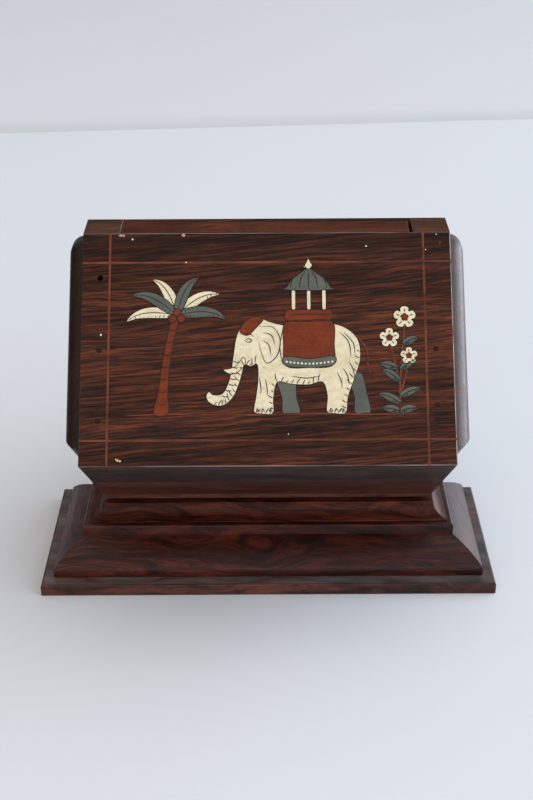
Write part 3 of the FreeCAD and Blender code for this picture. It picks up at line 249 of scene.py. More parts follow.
BASE = dict(along=40.0, across=260.0, figure=0.54, swirl=1.1, lean=0.0, dullness=0.34, gloss=0.26,
            sides=(-0.05, 0.4), worn=(122, 120, 121))
WOODS = {
    # The panel gets painted shade along its slope, between the heights of its last setting.
    "panel": (((28, 19, 17), (59, 33, 26), (94, 49, 31), (124, 62, 37)), 3.1,
              dict(worn=(150, 138, 136), painted_slope_shade=(0.066, 0.092, 0.119))),
    # The back panel's arrises are painted almost black, as painted shade.
    "back": (((29, 18, 14), (55, 29, 21), (81, 40, 24), (105, 51, 29)), 11.7, dict(worn=(14, 9, 8))),
    "lid": (((60, 30, 17), (81, 39, 22), (103, 48, 28), (117, 54, 31)), 5.3,
            dict(figure=0.64, dullness=0.55, gloss=0.05, worn=(150, 140, 138))),
    "block": (((56, 31, 21), (75, 44, 29), (95, 57, 38), (103, 61, 42)), 7.9,
              dict(figure=0.64, dullness=0.55, gloss=0.08, worn=(150, 130, 122))),
    "dark": (((39, 31, 30), (50, 40, 37), (62, 51, 47), (73, 58, 54)), 13.2,
             dict(dullness=0.36, gloss=0.3, worn=(120, 112, 114))),
    "neck": (((55, 31, 28), (77, 43, 36), (95, 55, 45), (106, 61, 51)), 19.6,
             dict(figure=0.6, gloss=0.15)),
    # The base boards are copies of one wood: the plinth's lighter tones are painted light, the ovolo's
    # darker ones painted shade.
    "cove": (((36, 14, 11), (61, 29, 21), (89, 41, 29), (111, 52, 35)), 17.4, dict(BASE, gloss=0.12)),
    "ovolo": (((31, 11, 8), (55, 21, 15), (80, 33, 22), (101, 42, 30)), 29.1, BASE),
    "plinth": (((37, 21, 18), (63, 35, 29), (92, 50, 41), (114, 62, 50)), 31.6, BASE),
    # The end mouldings are one wood in two copies: the right one's lighter tones are painted light, the
    # left one's darker tones painted shade.
    "cap": (((47, 30, 26), (64, 37, 33), (82, 47, 39), (97, 57, 46)), 23.5,
            dict(figure=0.56, dullness=0.36, gloss=0.9, upright=True)),
    "dull_cap": (((28, 16, 12), (40, 21, 16), (52, 28, 20), (63, 34, 25)), 37.2,
                 dict(figure=0.56, dullness=0.45, gloss=0.25, upright=True)),
    "end": (((38, 23, 19), (62, 35, 27), (86, 46, 33), (104, 56, 39)), 41.3,
            dict(dullness=0.45, upright=True)),
}
woods = {}
for name, (tones, offset, more) in WOODS.items():
    woods[name] = rosewood(f"{name}_rosewood", tones, offset, **more)
print("rosewoods:", list(woods))

# %% [markdown]
# ## Lining wood, stringing, pins and metals
# The lines let into the front are a plain orange-brown wood. The panel pins have gone dark and dull. The
# key and the movement are brass and steel, with an uneven roughness and a little tarnish.

# %% Plain finishes
PLAIN_GRAIN, PLAIN_PATCH, PLAIN_BUMP, PLAIN_DEPTH = (60, 900, 900), even(140), 0.15, 0.1 * MM
BRUSHED, TARNISH, BRUSH_BUMP, BRUSH_DEPTH = (300, 2400, 2400), even(130), 0.06, 0.05 * MM


def plain_wood(name, dark, light, offset, dullness, gloss=0.3):
    """A plain finish between two screen colours, with a fine grain."""
    finish = Finish(name)
    dark, light = colour(*dark), colour(*light)
    grain = finish.noise(PLAIN_GRAIN, (offset, 0, 0), 4.0, 0.6, 0.3)
    patch = finish.noise(PLAIN_PATCH, (offset, 0, 0), 3.0)
    tone = finish.mix(0.5, finish.ramp(grain, [(0.3, dark), (0.7, light)]),
                      finish.ramp(patch, [(0.35, dark), (0.65, light)]))
    rough = finish.ramp(grain, [(0.3, dullness - 0.05), (0.7, dullness + 0.08)])
    finish.surface(tone, rough, gloss)
    finish.bump(grain, PLAIN_BUMP, PLAIN_DEPTH)
    return finish.material


def metal(name, bright, tarnish, dullness):
    """Brushed metal in linear numbers, tarnished in blotches."""
    finish = Finish(name)
    brushed = finish.noise(BRUSHED, detail=3.0)
    blotch = finish.ramp(finish.noise(TARNISH, detail=5.0), [(0.42, 0.0), (0.72, 0.7)])
    tone = finish.mix(blotch, (*bright, 1.0), (*tarnish, 1.0))
    rough = finish.ramp(brushed, [(0.3, dullness - 0.07), (0.7, dullness + 0.1)])
    finish.surface(tone, rough, metallic=1.0)
    finish.bump(brushed, BRUSH_BUMP, BRUSH_DEPTH)
    return finish.material


stringing_wood = plain_wood("stringing_wood", (54, 32, 24), (128, 66, 40), 2.0, 0.4, gloss=0.15)
lining_wood = plain_wood("lining_wood", (74, 50, 36), (112, 82, 58), 4.0, 0.65)
pin_iron = plain_wood("pin_iron", (26, 15, 14), (48, 29, 26), 6.0, 0.5, gloss=0.1)
brass = metal("brass", (0.72, 0.50, 0.20), (0.30, 0.19, 0.07), 0.28)
steel = metal("steel", (0.56, 0.56, 0.57), (0.26, 0.25, 0.24), 0.30)
slot_finish = dict(rosewood=woods["panel"], dark_rosewood=woods["dark"], lining_wood=lining_wood,
                   stringing_wood=stringing_wood, pin_iron=pin_iron, brass=brass, steel=steel)
print("finishes of the slots:", list(slot_finish))

# %% [markdown]
# ## A finish for every node
# The record gives each node a material slot and each body its nodes. Most nodes take their slot's
# finish; the boards of the case and the base have a rosewood of their own.

# %% Finishes on the nodes
NODE_WOODS = {
    "plinth_board": "plinth", "ovolo_board": "ovolo", "cove_board": "cove", "neck_block": "neck",
    "left_end_moulding": "dull_cap", "right_end_moulding": "cap", "lid": "lid", "back_panel": "back",
    "left_ridge_block": "block", "right_ridge_block": "block",
    "left_end_board": "end", "right_end_board": "end",
}
own_finish = {name: woods[wood] for name, wood in NODE_WOODS.items()}
own_finish["lid_pins"] = pin_iron
record = frame["record"]
node_slot = {part["node"]: part["material_slot"] for part in record["subparts"]}
body_of = {name: body for body, names in record["behaviour"]["bodies"].items() for name in names}
node_finish = {name: own_finish.get(name, slot_finish[slot]) for name, slot in node_slot.items()}
for name, finish in node_finish.items():
    nodes[name].data.materials.clear()
    nodes[name].data.materials.append(finish)
print("finished nodes:", len(node_finish))

# %% [markdown]
# ## Softened boards
# Hand-worked boards have no razor edges: a thin rounded arris catches the light. A copy of each board is
# welded, its flat faces are merged, and only its long outer edges are bevelled. The new narrow faces get
# an attribute that the wood reads for edge wear and painted light, and the ledge around the foot of the
# base gets it too, painted pale grey for dust and a painted sheen. Arrises on the right get the most, as a
# painted highlight; those on the left, and behind the lid, stay dark as painted shade. In the mitred
# boards only level edges are rounded, and side pieces get the "turned" attribute. The copy then stands
# for the board it was made from.

# %% Softened copies of the boards
WELD = 1e-6
FLAT, SHARP, SMOOTH = (math.radians(angle) for angle in (0.4, 24, 38))
LONG, BROAD, LEVEL = 3.0 * MM, 1.3 * MM, 0.01 * MM
SIDEWAYS, BACKWARD, UPWARD = 0.2, 0.3, 0.99
# Shares of the edge colour: painted shade on arrises that face away, a painted highlight on those facing
# right.
SHADED_EDGE_SHARE, RIGHT_EDGE_HIGHLIGHT, LEDGE_DUST_AND_SHEEN = 0.1, 1.7, 0.75
DUST_AND_SHEEN_BOARDS = {"plinth_board"}
LID_ROW = {"lid", "left_ridge_block", "right_ridge_block"}


def place_piece(name, mesh, finish, body, slot, *replaced):
    """A finished piece at the origin, with its place in its mesh, riding on a body."""
    piece = new_object(name, mesh)
    if finish is not None:
        mesh.materials.clear()
        mesh.materials.append(finish)
    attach(piece, body)
    if replaced:
        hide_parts(*replaced)
    return piece


def evaluated(name, mesh, kind, prepare):
    """The mesh that one modifier makes of a mesh; prepare sets the modifier up."""
    holder = new_object(name, mesh)
    prepare(holder.modifiers.new(name, kind))
    ready = holder.evaluated_get(bpy.context.evaluated_depsgraph_get())
    result = bpy.data.meshes.new_from_object(ready)
    bpy.data.objects.remove(holder)
    return result


def follow_broad_faces(modifier):
    """Normals follow the broad faces, so that a narrow rounding doesn't bend their light."""
    modifier.weight = 100
    modifier.keep_sharp = True


def kept_mesh(name, work):
    mesh = bpy.data.meshes.new(name)
    work.to_mesh(mesh)
    work.free()
    return mesh


def slants(edge):
    return abs(edge.verts[0].co.z - edge.verts[1].co.z) > LEVEL


def faces_sideways(face):
    return abs(face.normal.x) > abs(face.normal.y)


def is_arris(edge, level):
    """A long sharp outer edge between broad faces; only a level one where level is set."""
    return (len(edge.link_faces) == 2 and edge.is_convex
            and edge.calc_face_angle() > SHARP and edge.calc_length() > LONG
            and min(face.calc_area() for face in edge.link_faces) > BROAD * edge.calc_length()
            and not (level and slants(edge)))


def softened(name, width, edge_paint, level=False):
    """A copy of a board with its arrises rounded by width mm and painted 0 to 1 with edge wear and light.
    """
    work = bmesh.new()
    work.from_mesh(nodes[name].data)
    bmesh.ops.remove_doubles(work, verts=work.verts, dist=WELD)
    bmesh.ops.dissolve_limit(work, angle_limit=FLAT, verts=work.verts, edges=work.edges)
    arrises = [edge for edge in work.edges if is_arris(edge, level)]
    worn, turned = (work.faces.layers.float.new(label) for label in ("worn", "turned"))
    made = bmesh.ops.bevel(work, geom=arrises, offset=width * MM, segments=3, profile=0.5,
                           affect="EDGES", clamp_overlap=False)
    work.normal_update()
    for face in made["faces"]:
        x, y = face.normal.xy
        # Arrises facing left, and those behind the lid row, get painted shade; those facing right a
        # painted highlight.
        dark = x < -SIDEWAYS or (y > BACKWARD and name in LID_ROW)
        face[worn] = edge_paint * (SHADED_EDGE_SHARE if dark else RIGHT_EDGE_HIGHLIGHT if x > SIDEWAYS else 1.0)
    # The plinth's ledge is painted pale grey, for dust and a painted sheen.
    if name in DUST_AND_SHEEN_BOARDS:
        for face in work.faces:
            if face.normal.z > UPWARD:
                face[worn] = LEDGE_DUST_AND_SHEEN
    bmesh.ops.triangulate(work, faces=[face for face in work.faces if len(face.verts) > 4])
    for face in work.faces:
        face.smooth = True
        face[turned] = float(level and faces_sideways(face))
    for edge in work.edges:
        ways = {faces_sideways(face) for face in edge.link_faces}
        mitre = level and slants(edge) and len(ways) == 2
        edge.smooth = edge.calc_face_angle(0.0) < SMOOTH and not mitre
    soft = f"{name}_soft"
    mesh = evaluated(soft, kept_mesh(soft, work), "WEIGHTED_NORMAL", follow_broad_faces)
    return place_piece(soft, mesh, node_finish[name], body_of[name], node_slot[name], name)


SOFT_EDGES = {
    "front_panel": (0.3, 0.9), "back_panel": (0.3, 1.0), "lower_front_board": (0.2, 0.8),
    "lower_back_board": (0.2, 0.8), "plinth_board": (0.45, 0.5, True),
    "ovolo_board": (0.6, 0.0, True), "cove_board": (1.1, 0.15, True),
    "neck_block": (0.3, 0.2, True), "lid": (0.25, 0.2),
    "left_ridge_block": (0.25, 0.5), "right_ridge_block": (0.25, 0.3),
}
soft_boards = {name: softened(name, *edges) for name, edges in SOFT_EDGES.items()}
for name, piece in soft_boards.items():
    print("softened", name, "faces:", len(piece.data.polygons))

# %% [markdown]
# ## The plane of the front panel
# Everything on the front lies in one sloping plane. Its frame is read from the panel's own corners: the
# lowest front edge is the waist, the highest is the ridge. Pieces are drawn flat, with X across and Y up
# the slope in millimetres, and one matrix carries them on to the panel.

# %% Panel frame
corners = [vertex.co for vertex in nodes["front_panel"].data.vertices]
waist = min(corners, key=lambda point: point.y)
ridge = max(corners, key=lambda point: point.z)
up_slope = Vector((0, ridge.y - waist.y, ridge.z - waist.z)).normalized()
outward = Vector((1, 0, 0)).cross(up_slope)
on_panel = Matrix.Translation((0, waist.y, waist.z)) @ Matrix((
    (MM, 0, 0, 0),
    (0, up_slope.y * MM, outward.y * MM, 0),
    (0, up_slope.z * MM, outward.z * MM, 0),
    (0, 0, 0, 1),
))
slope_length = (ridge - waist).length / MM
print("panel faces", [round(v, 3) for v in outward], "slope length mm", round(slope_length, 1))

# %% [markdown]
# ## Inlay finishes
# The picture is cut from bone, slate-grey stained wood and a redder wood, with lines engraved and filled
# with black. Bone is creamy with faint grey streaks, and polished almost like the varnish around it.

# %% Inlay finishes
BONE_GRAIN, BONE_STAIN, BONE_FLECK = (420, 900, 900), even(110), even(1600)
BONE_BUMP, BONE_DEPTH = 0.08, 0.1 * MM


def bone_finish():
    finish = Finish("bone")
    grain = finish.noise(BONE_GRAIN)
    tone = finish.ramp(grain, [(0.3, colour(206, 192, 158)), (0.6, colour(222, 211, 180))])
    stain = finish.ramp(finish.noise(BONE_STAIN), [(0.5, 0.0), (0.75, 0.5)])
    tone = finish.mix(stain, tone, colour(186, 168, 130))
    flecks = finish.ramp(finish.noise(BONE_FLECK, detail=1.0), [(0.68, 0.0), (0.75, 0.6)])
    tone = finish.mix(flecks, tone, colour(120, 104, 78))
    finish.surface(tone, finish.ramp(grain, [(0.3, 0.34), (0.7, 0.46)]))
    finish.bump(grain, BONE_BUMP, BONE_DEPTH)
    return finish.material


bone = bone_finish()
slate_wood = plain_wood("slate_wood", (68, 71, 65), (94, 97, 88), 8.0, 0.42)
red_wood = plain_wood("red_wood", (86, 36, 20), (124, 54, 27), 10.0, 0.45, gloss=0.12)
black_filler = plain_wood("black_filler", (20, 16, 15), (36, 29, 26), 12.0, 0.55)
print("inlay finishes:", bone.name, slate_wood.name, red_wood.name, black_filler.name)

# %% [markdown]
# ## Cut pieces of the inlay
# Each piece is a thin slip of bone or wood, sawn to a smooth outline and let into the panel. A few points
# and a smooth curve through them are enough to draw one. The slip reaches down into the panel, and its
# face stands a few hundredths of a millimetre proud, as old inlay does when the wood around it shrinks.

# %% Outlines and slips
INLAY_SLOT = "stringing_wood"
SLIP_DEPTH = 0.3
OUTLINE_DROP = 0.005
engraved = {"outline": [], "hatch": [], "thread": []}


def smooth_loop(points, steps=6):
    """A closed curve through the points, with steps parts between each two."""
    loop = []
    count = len(points)
    for index in range(count):
        before, start, end, after = (Vector(points[(index + k) % count]) for k in (-1, 0, 1, 2))
        for step in range(steps):
            t = step / steps
            bend = 2 * before - 5 * start + 4 * end - after
            twist = 3 * start - before - 3 * end + after
            loop.append(0.5 * (2 * start + (end - before) * t + bend * t * t + twist * t ** 3))
    return loop


def moved(points, x, y, size=1.0):
    return [(px * size + x, py * size + y) for px, py in points]


def slip_mesh(name, loops, lift):
    """Flat slips with the outlines given, carried on to the panel."""
    work = bmesh.new()
    for loop in loops:
        face = work.faces.new([work.verts.new((x, y, lift)) for x, y in loop])
        walls = bmesh.ops.extrude_face_region(work, geom=[face], use_keep_orig=True)
        floor = [item for item in walls["geom"] if isinstance(item, bmesh.types.BMVert)]
        bmesh.ops.translate(work, verts=floor, vec=(0, 0, -lift - SLIP_DEPTH))
    bmesh.ops.recalc_face_normals(work, faces=work.faces)
    bmesh.ops.triangulate(work, faces=[face for face in work.faces if len(face.verts) > 4])
    work.transform(on_panel)
    return kept_mesh(name, work)


def slip(name, shapes, finish, lift, smooth=True):
    """A piece of inlay; its outlines are kept, to be engraved later."""
    loops = [smooth_loop(points) if smooth else points for points in shapes]
    engraved["outline"] += [[(x, y, lift - OUTLINE_DROP) for x, y in loop] for loop in loops]
    mesh = slip_mesh(name, loops, lift)
    place_piece(name, mesh, finish, "case", INLAY_SLOT)
    print(name, "slips:", len(loops), "faces:", len(mesh.polygons))

# %% [markdown]
# ## The picture: an elephant, a palm and a flowering shrub
# The front carries a small inlaid scene in bone, slate-grey and red wood. A caparisoned elephant with a
# canopy walks past a palm, a motif common to such boxes. All of it is drawn here from a few points.

# %% Elephant
GROUND = 15.5
ELEPHANT_X, ELEPHANT_SIZE = 9.0, 0.98
FAR, NEAR, CLOTH, TRIM, STROKE, TOP = 0.03, 0.07, 0.11, 0.15, 0.17, 0.19


def on_elephant(points):
    return moved(points, ELEPHANT_X, GROUND, ELEPHANT_SIZE)


far_legs = [
    [(-6.2, 10.5), (-1.2, 9.8), (-0.5, 4.6), (0.4, 0.4), (-1.6, -0.1), (-4.6, 0.1), (-4.9, 4.6)],
    [(15.0, 11.0), (18.8, 12.0), (20.4, 6.0), (21.4, 0.6), (19.6, 0.0), (16.8, 0.2), (16.6, 5.2)],
]
body_outline = [
    (-12.4, 29.4), (-16.2, 27.8), (-18.4, 23.2), (-19.4, 17.0), (-20.4, 10.6), (-22.4, 6.2), (-25.2, 5.6),
    (-26.6, 6.6), (-27.4, 5.0), (-26.0, 3.0), (-22.6, 2.4), (-19.4, 5.0), (-17.4, 9.8), (-16.0, 14.6),
    (-14.2, 14.2), (-12.2, 14.8), (-12.0, 10.0), (-12.6, 5.0), (-13.2, 0.6), (-11.0, -0.1), (-7.6, 0.1),
    (-7.4, 4.6), (-6.2, 9.4), (-2.0, 8.8), (3.0, 8.6), (7.2, 9.4), (8.6, 5.4), (8.4, 0.6), (10.6, -0.1),
    (14.0, 0.1), (14.8, 5.0), (16.8, 10.6), (18.6, 16.6), (17.8, 22.6), (13.0, 26.6), (5.0, 27.6),
    (-3.0, 26.8), (-8.0, 27.8),
]
tusk = [(-16.4, 17.0), (-18.8, 14.2), (-22.2, 13.4), (-23.4, 14.4), (-21.0, 12.2), (-18.2, 12.4),
        (-15.8, 15.2)]
saddle = [(-3.8, 27.4), (3.2, 28.4), (10.4, 27.8), (10.9, 21.0), (10.4, 14.6), (3.4, 13.8), (-3.6, 14.4),
          (-4.3, 21.0)]
saddle_band = [(-3.9, 17.2), (3.3, 16.5), (10.7, 17.3), (10.4, 14.6), (3.4, 13.8), (-3.6, 14.4)]
seat = [(-2.6, 28.2), (9.4, 28.4), (10.2, 31.2), (9.4, 31.6), (-2.4, 31.6), (-3.4, 31.2)]
canopy_posts = [[(x, 31.6), (x + 1.0, 31.6), (x + 1.0, 38.0), (x, 38.0)] for x in (-1.7, 2.9, 7.5)]
dome = [(-4.4, 38.0), (-3.2, 38.6), (-1.6, 41.0), (1.2, 43.2), (3.4, 44.6), (5.6, 43.2), (8.4, 41.0),
        (10.0, 38.6), (11.2, 38.0), (3.4, 37.6)]
finial = [(3.4, 47.6), (2.8, 46.4), (2.3, 45.4), (3.4, 44.3), (4.5, 45.4), (4.0, 46.4)]
headcloth = [(-12.4, 29.6), (-15.6, 28.2), (-17.4, 25.0), (-15.0, 23.8), (-12.6, 26.0), (-10.4, 28.6)]

for name, outlines, finish, lift in (
    ("far_legs", far_legs, slate_wood, FAR), ("elephant", [body_outline], bone, NEAR),
    ("elephant_tusk", [tusk], bone, CLOTH), ("saddle_cloth", [saddle, seat], red_wood, CLOTH),
    ("head_cloth", [headcloth], red_wood, CLOTH), ("saddle_band", [saddle_band], slate_wood, TRIM),
    ("canopy_posts", canopy_posts, bone, NEAR), ("canopy_dome", [dome], slate_wood, CLOTH),
    ("canopy_finial", [finial], bone, TRIM),
):
    outlines = [on_elephant(points) for points in outlines]
    slip(name, outlines, finish, lift, smooth=name != "canopy_posts")

# %% [markdown]
# ## Leaves and flowers
# A leaf is a rib that bends down towards its tip, with a width that swells and dies away along it. One
# function draws both fronds and leaves. A flower is a circle that swells once for each petal.

# %% Palm and shrub
LEAF_PARTS, LEAF_TIP = 6, 0.02
PALM_X, SHRUB_X = -31.0, 38.5
NUT_RADIUS = 1.2
PETALS, PETAL_POINTS = 5, 8
HEART = 0.34


def leaf(x, y, angle, length, width, droop):
    """A pointed leaf from its root, bending down by droop degrees; its outline and its rib."""
    left, right, rib = [], [], []
    droop = math.copysign(droop, math.cos(math.radians(angle)))
    for part in range(LEAF_PARTS + 1):
        t = part / LEAF_PARTS
        turn = math.radians(angle - droop * t * t)
        swell = math.sin(math.pi * (0.12 + 0.88 * t))
        half = width / 2 * swell ** 0.8 if part < LEAF_PARTS else LEAF_TIP
        across, up = -math.sin(turn) * half, math.cos(turn) * half
        left.append((x + across, y + up))
        right.append((x - across, y - up))
        rib.append((x, y))
        x += math.cos(turn) * length / LEAF_PARTS
        y += math.sin(turn) * length / LEAF_PARTS
    return left + right[-2::-1], rib


def blossom(x, y, radius):
    """A flower outline with rounded petals."""
    outline = []
    for k in range(PETALS * PETAL_POINTS):
        turn = 2 * math.pi * k / (PETALS * PETAL_POINTS)
        reach = radius * (0.62 + 0.38 * abs(math.cos(PETALS * turn / 2)) ** 0.5)
        outline.append((x + reach * math.sin(turn), y + reach * math.cos(turn)))
    return outline


trunk = [(-2.0, 0.0), (2.0, 0.0), (1.9, 6.0), (2.4, 14.0), (3.6, 22.0), (5.2, 29.5), (3.4, 30.0),
         (1.6, 22.6), (0.2, 14.4), (-0.9, 6.0)]
crown = (PALM_X + 4.4, GROUND + 29.6)
fronds = [leaf(*crown, angle, length, width=3.4, droop=62) for angle, length in
          ((172, 15.5), (140, 15.0), (108, 13.5), (76, 13.5), (42, 14.5), (10, 15.0))]
nut = [(NUT_RADIUS * math.cos(0.9 * k), NUT_RADIUS * math.sin(0.9 * k)) for k in range(7)]
nuts = [moved(nut, crown[0] + dx, crown[1] + dy) for dx, dy in ((-1.3, -1.2), (1.3, -1.0), (0.1, 0.7))]
slip("palm_trunk", [moved(trunk, PALM_X, GROUND)], red_wood, NEAR)
slip("palm_fronds_bone", [outline for outline, rib in fronds[::2]], bone, CLOTH)
slip("palm_fronds_slate", [outline for outline, rib in fronds[1::2]], slate_wood, TRIM)
slip("palm_nuts", nuts, red_wood, TOP)

stems = [[(0.0, 0.0), (0.3, 10.0), (2.0, 27.0)], [(0.2, 8.0), (-1.2, 15.0), (-2.6, 21.0)],
         [(0.2, 5.0), (1.8, 11.0), (3.0, 15.6)]]
shrub_leaves = [leaf(SHRUB_X + x, GROUND + y, angle, length, 2.4, droop=30) for x, y, angle, length in (
    (0.2, 3.0, 150, 7.0), (0.3, 5.0, 28, 6.4), (0.2, 9.5, 140, 6.4), (0.6, 13.0, 40, 5.6),
    (-0.6, 13.4, 160, 5.2), (1.4, 20.5, 30, 5.0), (0.0, 0.6, 165, 5.4), (0.0, 0.6, 15, 5.4))]
flowers = [(SHRUB_X + x, GROUND + y, radius) for x, y, radius in
           ((-2.6, 22.4, 3.0), (2.0, 28.6, 3.4), (3.0, 17.0, 2.6))]
slip("shrub_leaves", [outline for outline, rib in shrub_leaves], slate_wood, NEAR)
slip("shrub_flowers", [blossom(*flower) for flower in flowers], bone, CLOTH)
slip("flower_hearts", [blossom(x, y, radius * HEART) for x, y, radius in flowers], red_wood, TRIM)

# %% [markdown]
# ## Strokes of the graver
# An engraver gives flat slips their form with strokes: short ones from an outline inwards, longest on the
# side away from the light, then ribs, folds and toes. They are listed as paths; the next step cuts them.

# %% Engraved strokes
def hatch(points):
    engraved["hatch"].append(points)


def stroke(*points):
    hatch(on_elephant(points))


def shade(loop, every, length, shadow=(0.6, -0.8), least=0.25):
    """Short strokes from an outline inwards, longest where the edge turns away from the light."""
    count = len(loop)
    area = sum(loop[k - 1].x * loop[k].y - loop[k].x * loop[k - 1].y for k in range(count))
    turn = math.copysign(1.0, area)
    for k in range(0, count, every):
        along = (loop[(k + 1) % count] - loop[k - 1]).normalized()
        out = Vector((along.y, -along.x)) * turn
        dark = out.x * shadow[0] + out.y * shadow[1]
        if dark < least:
            continue
        reach = length * dark * (0.75 + 0.25 * math.sin(k * 2.3))
        slide = along * turn * reach * 0.45
        path = (loop[k] - out * 0.1, loop[k] - out * reach * 0.5 + slide * 0.3,
                loop[k] - out * reach + slide)
        hatch([tuple(point) for point in path])


for outline, rib in fronds + shrub_leaves:
    hatch(rib)
shade(smooth_loop(on_elephant(body_outline)), 2, 2.6)
shade(smooth_loop(on_elephant(dome)), 3, 1.6)
for outline, rib in fronds + shrub_leaves:
    shade(smooth_loop(outline), 3, 1.0, shadow=(0.2, -1.0))
for x, y, radius in flowers:
    for petal in range(PETALS):
        turn = 2 * math.pi * petal / PETALS
        hatch([(x + radius * reach * math.sin(turn), y + radius * reach * math.cos(turn))
               for reach in (0.42, 0.6, 0.8)])

stroke((-11.2, 26.4), (-7.4, 26.2), (-5.3, 22.4), (-6.2, 17.6), (-9.2, 15.2), (-10.8, 18.0), (-11.8, 22.0))
stroke((-10.2, 24.6), (-7.8, 23.6), (-6.9, 20.8))
stroke((-10.4, 22.2), (-8.6, 20.6), (-8.2, 17.8))
stroke((-15.9, 22.2), (-14.8, 22.8), (-13.8, 22.1), (-14.9, 21.6), (-15.9, 22.2))
stroke((-16.4, 23.8), (-14.8, 24.4), (-13.2, 23.4))
for level in range(7):
    y = 16.0 - level * 1.75
    x = -19.2 - level * 0.34 - max(0, level - 4) * 0.7
    stroke((x - 0.3, y), (x + 0.9, y - 0.5), (x + 1.8, y - 0.3))
for x in (-12.6, -11.0, -9.4, 9.2, 10.8, 12.4):
    stroke((x, 0.3), (x + 0.4, 1.4), (x + 1.0, 0.4))
for x, y, lean in ((-11.6, 11.0, 0.4), (-9.8, 10.4, 0.5), (11.6, 12.4, 1.2), (13.4, 13.6, 1.4),
                   (15.2, 15.6, 1.3)):
    stroke((x, y), (x + lean, y - 2.6), (x + lean * 1.2, y - 5.0))
stroke((12.4, 24.8), (15.2, 21.6), (15.8, 17.0))
stroke((13.8, 24.6), (16.6, 21.2), (17.0, 17.8))
stroke((-4.6, 25.2), (-5.4, 20.0), (-4.6, 14.8))
stroke((-2.0, 11.2), (2.6, 10.6), (6.4, 11.2))
for x in (-2.2, 0.6, 3.4, 6.2, 9.0):
    stroke((3.4 + (x - 3.4) * 0.25, 44.0), (3.4 + (x - 3.4) * 0.8, 41.6), (x, 38.3))
stroke((-2.9, 30.0), (3.4, 30.3), (9.8, 30.0))
for k in range(7):
    y = GROUND + 2.6 + k * 3.7
    x = PALM_X + 0.2 + (k / 7) ** 2 * 4.0
    hatch([(x - 1.3, y + 0.5), (x, y), (x + 1.4, y + 0.6)])
tail = on_elephant([(17.8, 23.0), (20.4, 19.6), (20.8, 14.6), (21.6, 11.4)])
ground = [(-41.0, -0.5), (-28.0, -0.1), (-8.0, -0.4), (14.0, -0.1), (30.0, -0.4), (44.0, -0.1)]
ground = moved(ground, 0, GROUND)
engraved["thread"] += [*(moved(points, SHRUB_X, GROUND) for points in stems), tail, ground]
print("engraved strokes:", {kind: len(lines) for kind, lines in engraved.items()})

# %% [markdown]
# ## Engraved lines with Geometry Nodes
# A graver cuts a line that follows a path and thins towards its ends. One node tree does this for all of
# the strokes: it turns edges into curves, smooths them, and sweeps a flat profile whose scale falls off
# near both ends. Its width, height and taper are named inputs, so three kinds of line share the tree.

# %% Line tree
LINE_STEP, LEAST_WIDTH, LINE_HEIGHT, LINE_SIDES = 0.35, 0.25, 0.05, 6


def new_tree(name, inputs):
    """An empty tree with named inputs, and a function that adds nodes to it."""
    tree = bpy.data.node_groups.new(name, "GeometryNodeTree")
    tree.interface.new_socket("Geometry", in_out="INPUT", socket_type="NodeSocketGeometry")
    for label in inputs:
        kind = "Int" if label == "Seed" else "Float"
        tree.interface.new_socket(label, in_out="INPUT", socket_type=f"NodeSocket{kind}")
    tree.interface.new_socket("Geometry", in_out="OUTPUT", socket_type="NodeSocketGeometry")

    def add(kind, inputs=None, output=0, **settings):
        return add_node(tree, kind, inputs, **settings).outputs[output]

    return tree, tree.nodes.new("NodeGroupInput").outputs, add


def finish_tree(tree, add, geometry, finish):
    """Every tree ends with real geometry and one material."""
    real = add("GeometryNodeRealizeInstances", {"Geometry": geometry})
    made = add("GeometryNodeSetMaterial", {"Geometry": real, "Material": finish})
    add_node(tree, "NodeGroupOutput", {0: made})
    return tree


def baked(name, mesh, tree, values):
    """Run a tree on a mesh and keep the result as a plain mesh."""
    def prepare(modifier):
        modifier.node_group = tree
        for socket in tree.interface.items_tree:
            if socket.in_out == "INPUT" and socket.name in values:
                modifier[socket.identifier] = values[socket.name]
    return evaluated(name, mesh, "NODES", prepare)


def line_tree(finish):
    tree, entry, add = new_tree(f"lines_{finish.name}", ["Width", "Height", "Taper"])
    curve = add("GeometryNodeMeshToCurve", {"Mesh": entry["Geometry"]})
    curve = add("GeometryNodeCurveSplineType", {"Curve": curve}, spline_type="CATMULL_ROM")
    curve = add("GeometryNodeResampleCurve", {"Curve": curve, "Length": LINE_STEP}, mode="LENGTH")
    curve = add("GeometryNodeSetCurveNormal", {"Curve": curve}, mode="Z_UP")
    factor = add("GeometryNodeSplineParameter")
    arch = add("ShaderNodeMath", {0: factor, 1: math.pi}, operation="MULTIPLY")
    arch = add("ShaderNodeMath", {0: arch}, operation="SINE")
    thin = add("ShaderNodeMath", {0: arch, 1: entry["Taper"]}, operation="POWER")
    thin = add("ShaderNodeMath", {0: thin, 1: LEAST_WIDTH}, operation="MAXIMUM")
    profile = add("GeometryNodeCurvePrimitiveCircle", {"Resolution": LINE_SIDES, "Radius": 0.5})
    flat = add("ShaderNodeCombineXYZ", {"X": entry["Width"], "Y": entry["Height"], "Z": 1.0})
    profile = add("GeometryNodeTransform", {"Geometry": profile, "Scale": flat})
    sweep = {"Curve": curve, "Profile Curve": profile, "Scale": thin, "Fill Caps": True}
    return finish_tree(tree, add, add("GeometryNodeCurveToMesh", sweep), finish)


def path_mesh(name, paths, lift, closed):
    """Paths as loose edges; a path without heights of its own lies at lift."""
    points, edges = [], []
    for path in paths:
        first = len(points)
        points += [point if len(point) == 3 else (*point, lift) for point in path]
        edges += [(first + k, first + k + 1) for k in range(len(path) - 1)]
        if closed:
            edges.append((first + len(path) - 1, first))
    mesh = bpy.data.meshes.new(name)
    mesh.from_pydata(points, edges, [])
    return mesh


